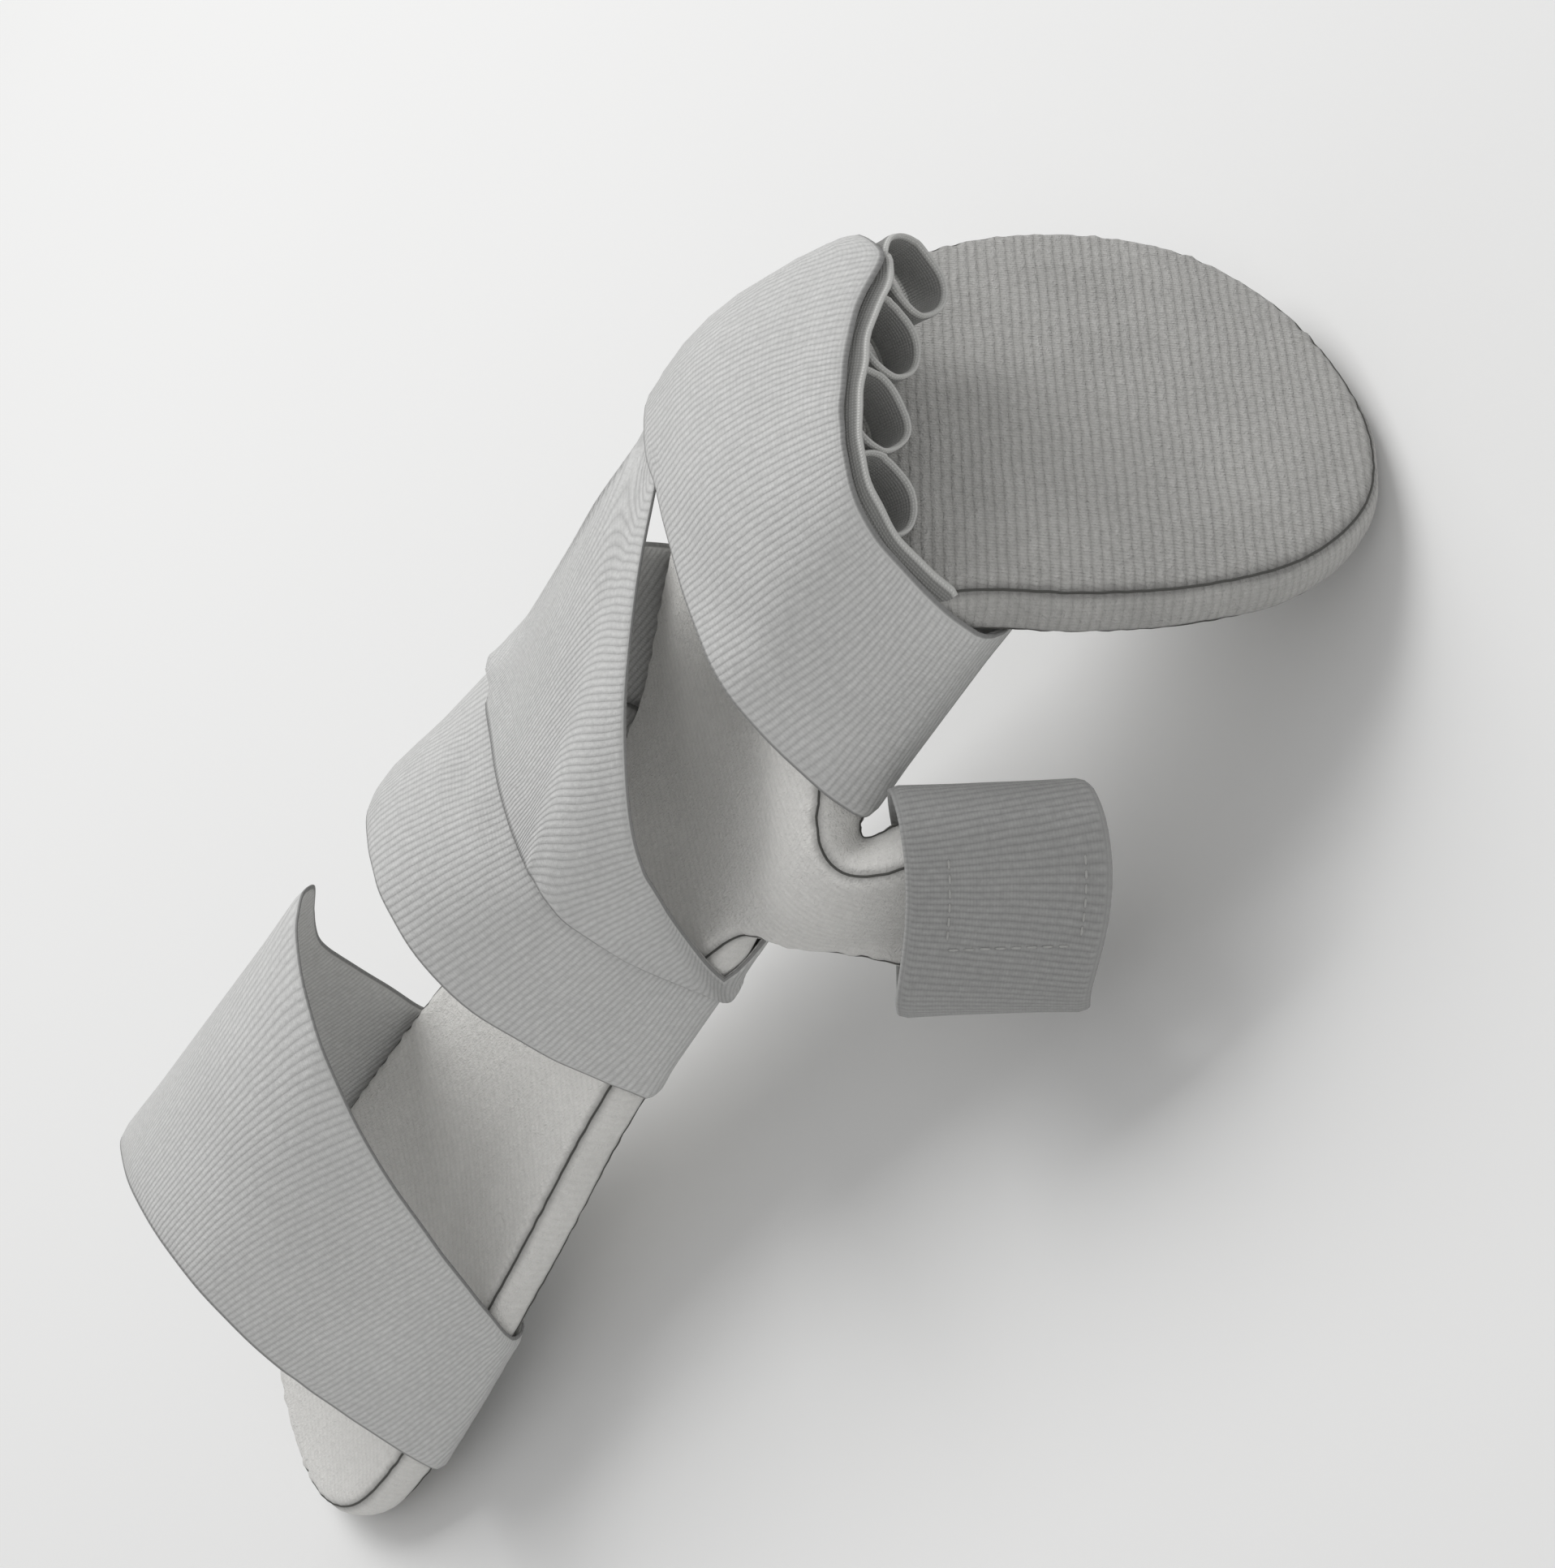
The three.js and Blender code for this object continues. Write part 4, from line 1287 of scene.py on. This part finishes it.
@dataclass(frozen=True)
class ThumbBand:
    """Straight band round the wing's end and the room for the thumb.

    Near and far are where its edges lie along the wing. The two edges bow out over the thumb,
    the far one is cut back, and a rectangle is stitched through the band.
    """

    name: str = "thumb_strap"
    half: float = 11.0
    height: float = 18.0
    shift: float = -4.0
    near: float = 69.0
    far: float = 107.0
    ease: float = 0.6
    thickness: float = 1.6
    headings: int = 150
    rows: int = 23
    step: float = 1.8
    near_bow: float = 3.5
    far_bow: float = 5.0
    far_cut: float = 3.5
    stitch_from: float = 8.0
    stitch_to: float = 33.5
    stitch_rise: float = 8.5
    stitch_drop: float = 6.0
    stitch_marks: int = 30
    root_reach: float = 3.0
    smoothing: float = 2.5
    loose: Ripple = Ripple(0.2, 12, (17.0, 29.0, 11.0))
    loose_edge: tuple[float, float] = (0.2, 0.5)
    back_bow: float = -0.4
    over: float = 0.08

    def axes(self) -> tuple[Array, ...]:
        """The wing's end point, and directions along it, off its face and sideways."""
        middle = BOARD.wing_start + BOARD.wing_width / 2 + BOARD.wing_flare / 2
        tip, root, above = BOARD.bend(np.array([
            (middle, -self.far, 0.0), (middle, -self.near, 0.0), (middle, -self.far, 1.0),
        ]))
        along, face = unit(tip - root), unit(above - tip)
        return tip, along, face, unit(np.cross(face, along))

    def loop(self, board: Array) -> Array:
        """Inner loop of the band in the wing's own two directions.

        Args:
            board: the board's solid as level triangles.

        Returns:
            Even points round the loop.
        """
        tip, along, face, side = self.axes()
        corners = board.reshape(-1, 3)
        limit = BOARD.wing_start + BOARD.wing_width + 2.0 * BOARD.wing_flare
        wing = corners[(corners[:, 1] < BOARD.wing_side) & (corners[:, 0] < limit)] - tip
        wing = wing[wing @ along > self.near - self.far - self.root_reach]
        angles = even_angles(self.headings)
        room = np.column_stack([
            self.shift + self.half * np.cos(angles), self.height / 2 * (1.0 + np.sin(angles)),
        ])
        spots = np.vstack([np.column_stack([wing @ side, wing @ face]), room])
        headings = np.column_stack([np.cos(angles), np.sin(angles)])
        reach = soften((spots @ headings.T).max(axis=0), self.smoothing) + self.ease
        slope = (np.roll(reach, -1) - np.roll(reach, 1)) * self.headings / (4.0 * math.pi)
        sideways = np.column_stack([-np.sin(angles), np.cos(angles)])
        return even_loop(headings * reach[:, None] + sideways * slope[:, None], self.step)

    def skin(self, board: Array) -> tuple[Skin, Array, Array]:
        """The band's surface, its inner face and its outward directions."""
        tip, along, face, side = self.axes()
        loop = self.loop(board)
        ahead = ahead_on(loop)
        outs = ahead[:, 1:] * side - ahead[:, :1] * face
        margins = np.linspace(0.0, self.far - self.near, self.rows)
        edge = smoothstep(np.abs(margins / margins[-1] - 0.5), *self.loose_edge)[:, None]
        loose = (self.loose.depth + self.loose.along(loop_run(loop)[:-1])) * edge
        level = (loop[:, 1] - loop[:, 1].min()) / np.ptp(loop[:, 1])
        bump = 4.0 * level * (1.0 - level) * np.where(outs @ side > 0.0, 1.0, self.back_bow)
        share = (margins / margins[-1])[:, None]
        slip = mixed(self.near_bow, self.far_bow, share) * bump - self.far_cut * share
        places = tip + loop[:, :1] * side + loop[:, 1:] * face
        slide = margins[:, None] - margins[-1] + slip
        inner = places + along * slide[..., None] + outs * loose[..., None]
        outs = np.tile(outs, (self.rows, 1, 1))
        return wall_skin(inner, outs, np.full(inner.shape[:2], self.thickness), margins), inner, outs

    def stitch_rows(self, inner: Array, outs: Array) -> list[Array]:
        """Lines of the rectangle stitched through the band, on the side away from the wing's root.

        Args:
            inner: the band's inner face.
            outs: its outward directions.

        Returns:
            Three open lines just over the band's outer face.
        """
        outer = inner + outs * (self.thickness + self.over)
        _, _, face, side = self.axes()
        middle = int(np.argmax(outs[0] @ (side + face))) + int(round(self.stitch_drop / self.step))
        half = int(round(self.stitch_rise / self.step))
        low, high = (m * (self.rows - 1) / (self.far - self.near) for m in (self.stitch_from, self.stitch_to))
        columns = np.arange(middle - half, middle + half + 1) % outer.shape[1]
        rows = []
        for level in (low, high):
            first = int(level)
            rows.append(mixed(outer[first, columns], outer[first + 1, columns], level - first))
        levels = np.linspace(low, high, self.stitch_marks)
        rows.append(at_marks(levels, np.arange(self.rows), outer[:, columns[-1]]))
        return rows


def stitch_skin(path: Array, radius: float, dash: float, rest: float) -> Skin:
    """A row of stitches along an open line.

    Args:
        path: points of the line, close together.
        radius: radius of the thread.
        dash: length of a stitch.
        rest: distance between two stitches.

    Returns:
        The stitches as one skin of small spindles.
    """
    run = line_run(path)
    radii = radius * np.array(STITCH_WIDTHS)[:, None]
    points, faces, uvs = [], [], []
    for start in np.arange(rest / 2, run[-1] - dash, dash + rest):
        marks = start + dash * np.array(STITCH_SHARES)
        spots = at_marks(marks, run, path)
        base = len(points)
        points.extend(rings_round(spots, unit(spots[-1] - spots[0]), radii, STITCH_GUIDE))
        sides, places = thread_tube(marks, len(marks))
        faces += [tuple(base + n for n in side[::-1]) for side in sides]
        uvs += [place[::-1] for place in places]
        for ring, order in ((0, -1), (len(marks) - 1, 1)):
            faces.append(tuple(base + ring * THREAD_SIDES + k for k in range(THREAD_SIDES))[::order])
            uvs.append([(marks[ring], 0.0)] * THREAD_SIDES)
    return Skin(np.array(points), faces, uvs)


@dataclass(frozen=True)
class FingerLoop:
    """A soft ribbon loop for one finger, placed by its middle and its crest."""

    name: str
    across: float
    crest: float
    width: float = 16.6
    height: float = 17.4
    depth: float = 9.0
    inset: float = 2.0
    wall: float = 1.3
    narrowing: float = 0.16
    corners: int = 72
    step: float = 0.7
    rows: int = 13
    wave: Ripple = Ripple(0.35, 20, (13.0, 21.0, 9.0))
    flare: float = 0.25
    flare_from: float = 0.6

    def skin(self, edge: EdgePlane, number: int) -> Skin:
        """The loop's surface.

        Args:
            edge: the plane of the hand band's front edge.
            number: the loop's number, which settles its slight unevenness.

        Returns:
            The skin.
        """
        point, normal = edge.placed()
        across, up = in_plane(normal)
        angles = even_angles(self.corners)
        half, tall = self.width / 2 - self.wall, self.height / 2 - self.wall
        straight = self.height / 2 - self.width / 2
        x = half * np.cos(angles)
        y = np.sin(angles) * min(half, tall) + np.sign(np.sin(angles)) * straight
        x = x * (1.0 - self.narrowing * smoothstep(-y / tall, 0.0, 1.0))
        loop = even_loop(np.column_stack([x, y]), self.step)
        ahead = ahead_on(loop)
        outs = ahead[:, 1:] * across - ahead[:, :1] * up
        middle = point + across * self.across + up * (self.crest - self.height / 2)
        margins = np.linspace(0.0, self.depth, self.rows)
        wave = self.wave.along(loop_run(loop)[:-1], number)
        places = middle + loop[:, :1] * across + loop[:, 1:] * up
        rows = places + normal * (margins - self.inset - self.depth)[:, None, None]
        rows = rows + normal * (wave * (margins / self.depth)[:, None])[..., None]
        flare = self.flare * smoothstep(margins / self.depth, self.flare_from, 1.0)[:, None]
        flare = np.tile(flare, len(loop))
        outs = np.tile(outs, (self.rows, 1, 1))
        return wall_skin(rows + outs * flare[..., None], outs, np.full(flare.shape, self.wall), margins)


@dataclass(frozen=True)
class DividerStrip:
    """Ribbon under the hand band's front edge, that the finger loops are sewn to."""

    tuck: float = 6.0
    show: float = 2.4
    wall: float = 0.7
    gap: float = 0.3
    lowest: float = 14.0
    evenness: float = 2.5
    rows: int = 9
    taper: float = 9.0
    tucked_end: float = 1.5
    wave: Ripple = Ripple(0.4, 6, (17.0, 26.0, 11.0))

    def skin(self, inner: Array, outs: Array, edge: EdgePlane) -> Skin:
        """The strip's surface.

        Args:
            inner: the hand band's inner face.
            outs: its outward directions.
            edge: the plane of the band's front edge.

        Returns:
            The skin.
        """
        point, normal = edge.placed()
        height = (inner[-1] - point) @ in_plane(normal)[1]
        turn = int(np.argmin(height))
        rim, out = np.roll(inner[-1], -turn, axis=0), np.roll(outs[-1], -turn, axis=0)
        before = np.roll(inner[-3], -turn, axis=0)
        rim, before = (soften(line, self.evenness, axis=0) for line in (rim, before))
        high = np.roll(height, -turn) > self.lowest
        away = unit(rim - before)[high]
        run = line_run(rim[high])
        wave = self.wave.along(run)
        margins = np.linspace(0.0, self.tuck + self.show, self.rows)
        share = (margins / margins[-1])[:, None]
        ends = smoothstep(np.minimum(run, run[-1] - run), 0.0, self.taper)
        slide = margins[:, None] - self.tuck + (wave - (self.show + self.tucked_end) * (1.0 - ends)) * share
        rows = rim[high] - out[high] * (self.gap + self.wall) + away * slide[..., None]
        outs = np.tile(out[high], (self.rows, 1, 1))
        return wall_skin(rows, outs, np.full(slide.shape, self.wall), margins, closed=False)


LOOPS = (
    FingerLoop("finger_loop_1", -32.0, 45.6),
    FingerLoop("finger_loop_2", -15.0, 47.0),
    FingerLoop("finger_loop_3", 2.0, 43.4),
    FingerLoop("finger_loop_4", 19.0, 35.6),
)


# The splint and the studio


class Splint:
    """The whole splint, dressed."""

    def __init__(self) -> None:
        """Reads the board's solid and draws the finishes."""
        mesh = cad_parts["padded_board"].data
        mesh.calc_loop_triangles()
        corners = np.array([v.co for v in mesh.vertices])
        numbers = np.array([t.vertices for t in mesh.loop_triangles])
        self.board = STANCE.level(corners[numbers].reshape(-1, 3)).reshape(-1, 3, 3)
        self.web = ElasticWeb().material()
        self.ribbon = SoftRibbon().material()
        self.dark_thread = SewingThread("seam_thread", (0.13, 0.13, 0.12, 1.0)).material()
        self.pale_thread = SewingThread("stitch_thread", (0.66, 0.66, 0.64, 1.0)).material()
        self.below: list[BVHTree] = []

    def dress_board(self) -> None:
        """Makes the knit cover and its two seams."""
        skin, seams = BOARD.skin()
        cover = skin.piece("board_cover", RibbedKnit().material(), "padded_board")
        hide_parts("padded_board")
        for name, seam in zip(("bottom_seam", "top_seam"), seams):
            cord_skin(seam, BOARD.seam_radius).piece(name, self.dark_thread, "padded_board")
            log.info("%s, %.0f mm long", name, loop_run(seam)[-1])
        self.below.append(skin.tree())

    def dress_bands(self) -> None:
        """Makes the bands round forearm, wrist and hand, and the strip under the last one's edge."""
        sleeve = Sleeve(self.board)
        for band in BANDS:
            skin, inner, outs = band.skin(sleeve, self.below)
            piece = skin.piece(band.name + "_web", self.web, band.name)
            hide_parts(band.name)
            self.below.append(skin.tree())
            log.info("%s, %.0f mm round", band.name, loop_run(inner[band.rows // 2])[-1])
        strip = DividerStrip().skin(inner, outs, BANDS[-1].far.front)
        strip.piece("divider_strip", self.ribbon, LOOPS[0].name)

    def dress_thumb(self) -> None:
        """Makes the thumb's band."""
        band = ThumbBand()
        skin, inner, outs = band.skin(self.board)
        # Its lower tone is painted shade; it gets no painted edge shadow.
        web = ElasticWeb("thumb_elastic_web", tone=0.56, edge_shadow_tone=1.0).material()
        piece = skin.piece("thumb_strap_web", web, band.name)
        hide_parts(band.name)
        for number, row in enumerate(band.stitch_rows(inner, outs)):
            stitches = stitch_skin(row, radius=0.24, dash=1.9, rest=0.9)
            stitches.piece(f"thumb_stitches_{number + 1}", self.pale_thread, band.name)
        log.info("%s, %.0f mm round", band.name, loop_run(inner[0])[-1])

    def dress_loops(self) -> None:
        """Makes the ribbon loops between the fingers."""
        edge = BANDS[-1].far.front
        for number, loop in enumerate(LOOPS):
            piece = loop.skin(edge, number).piece(loop.name + "_ribbon", self.ribbon, loop.name)
            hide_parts(loop.name)


@dataclass(frozen=True)
class Lamp:
    """A soft studio lamp: where it stands, its size and its power."""

    name: str
    place: tuple[float, float, float]
    size: float
    power: float


@dataclass(frozen=True)
class Studio:
    """Plain pale floor, soft light and the photograph's point of view."""

    floor_tone: Colour = (0.86, 0.86, 0.855, 1.0)
    floor_cloud: Grain = Grain(3.0, 3.0, 0.03)
    floor_light: float = 0.985
    floor_size: float = 8.0
    sky_tone: Colour = (1.0, 1.0, 1.0, 1.0)
    sky_power: float = 0.44
    eye: tuple[float, float, float] = (330.7446, -542.8609, 471.6323)
    right: tuple[float, float, float] = (0.6393, -0.2296, -0.7339)
    up: tuple[float, float, float] = (0.6652, 0.6431, 0.3793)
    lens: float = 88.6
    sensor: float = 36.0
    aim: tuple[float, float, float] = (0.0, 0.0, 0.05)
    lamps: tuple[Lamp, ...] = (
        Lamp("key", (0.12, 0.85, 1.35), 1.1, 14.5),
        Lamp("fill", (0.7, -1.3, 1.1), 1.2, 3.5),
    )

    def build(self) -> None:
        """Makes the floor, the lamps and the camera."""
        bpy.ops.mesh.primitive_plane_add(size=self.floor_size)
        floor = bpy.context.object
        floor.name = "floor"
        sketch = Sketch("floor_paper")
        tone = sketch.noise(self.floor_cloud) * self.floor_cloud.weight + self.floor_light
        paper = sketch.done(sketch.shade(self.floor_tone, tone), roughness=0.95, sheen=0.0)
        floor.data.materials.append(paper)
        for lamp in self.lamps:
            light = bpy.data.lights.new(lamp.name, "AREA")
            light.size = lamp.size
            light.energy = lamp.power
            holder = bpy.data.objects.new(lamp.name, light)
            holder.location = lamp.place
            aim = Vector(self.aim) - Vector(lamp.place)
            holder.rotation_euler = aim.to_track_quat("-Z", "Y").to_euler()
            bpy.context.scene.collection.objects.link(holder)
        world = bpy.data.worlds.new("sky")
        world.use_nodes = True
        background = world.node_tree.nodes["Background"]
        background.inputs["Color"].default_value = self.sky_tone
        background.inputs["Strength"].default_value = self.sky_power
        bpy.context.scene.world = world
        bpy.context.scene.view_settings.view_transform = "Standard"
        self.camera()

    def camera(self) -> None:
        """Sets the camera where the photograph was taken from."""
        right, up = Vector(self.right).normalized(), Vector(self.up).normalized()
        back = right.cross(up).normalized()
        up = back.cross(right)
        turn = Matrix((right, up, back)).transposed().to_4x4()
        lens = bpy.data.cameras.new("view")
        lens.lens = self.lens
        lens.sensor_width = self.sensor
        holder = bpy.data.objects.new("view", lens)
        holder.matrix_world = Matrix.Translation(Vector(self.eye) * MM) @ turn
        bpy.context.scene.collection.objects.link(holder)
        bpy.context.scene.camera = holder


def main() -> None:
    """Builds the splint piece by piece, then the studio."""
    logging.basicConfig(level=logging.INFO, format="%(message)s")
    bpy.ops.object.select_all(action="DESELECT")
    splint = Splint()
    splint.dress_board()
    splint.dress_bands()
    splint.dress_thumb()
    splint.dress_loops()
    Studio().build()


if __name__ == "__main__":
    main()
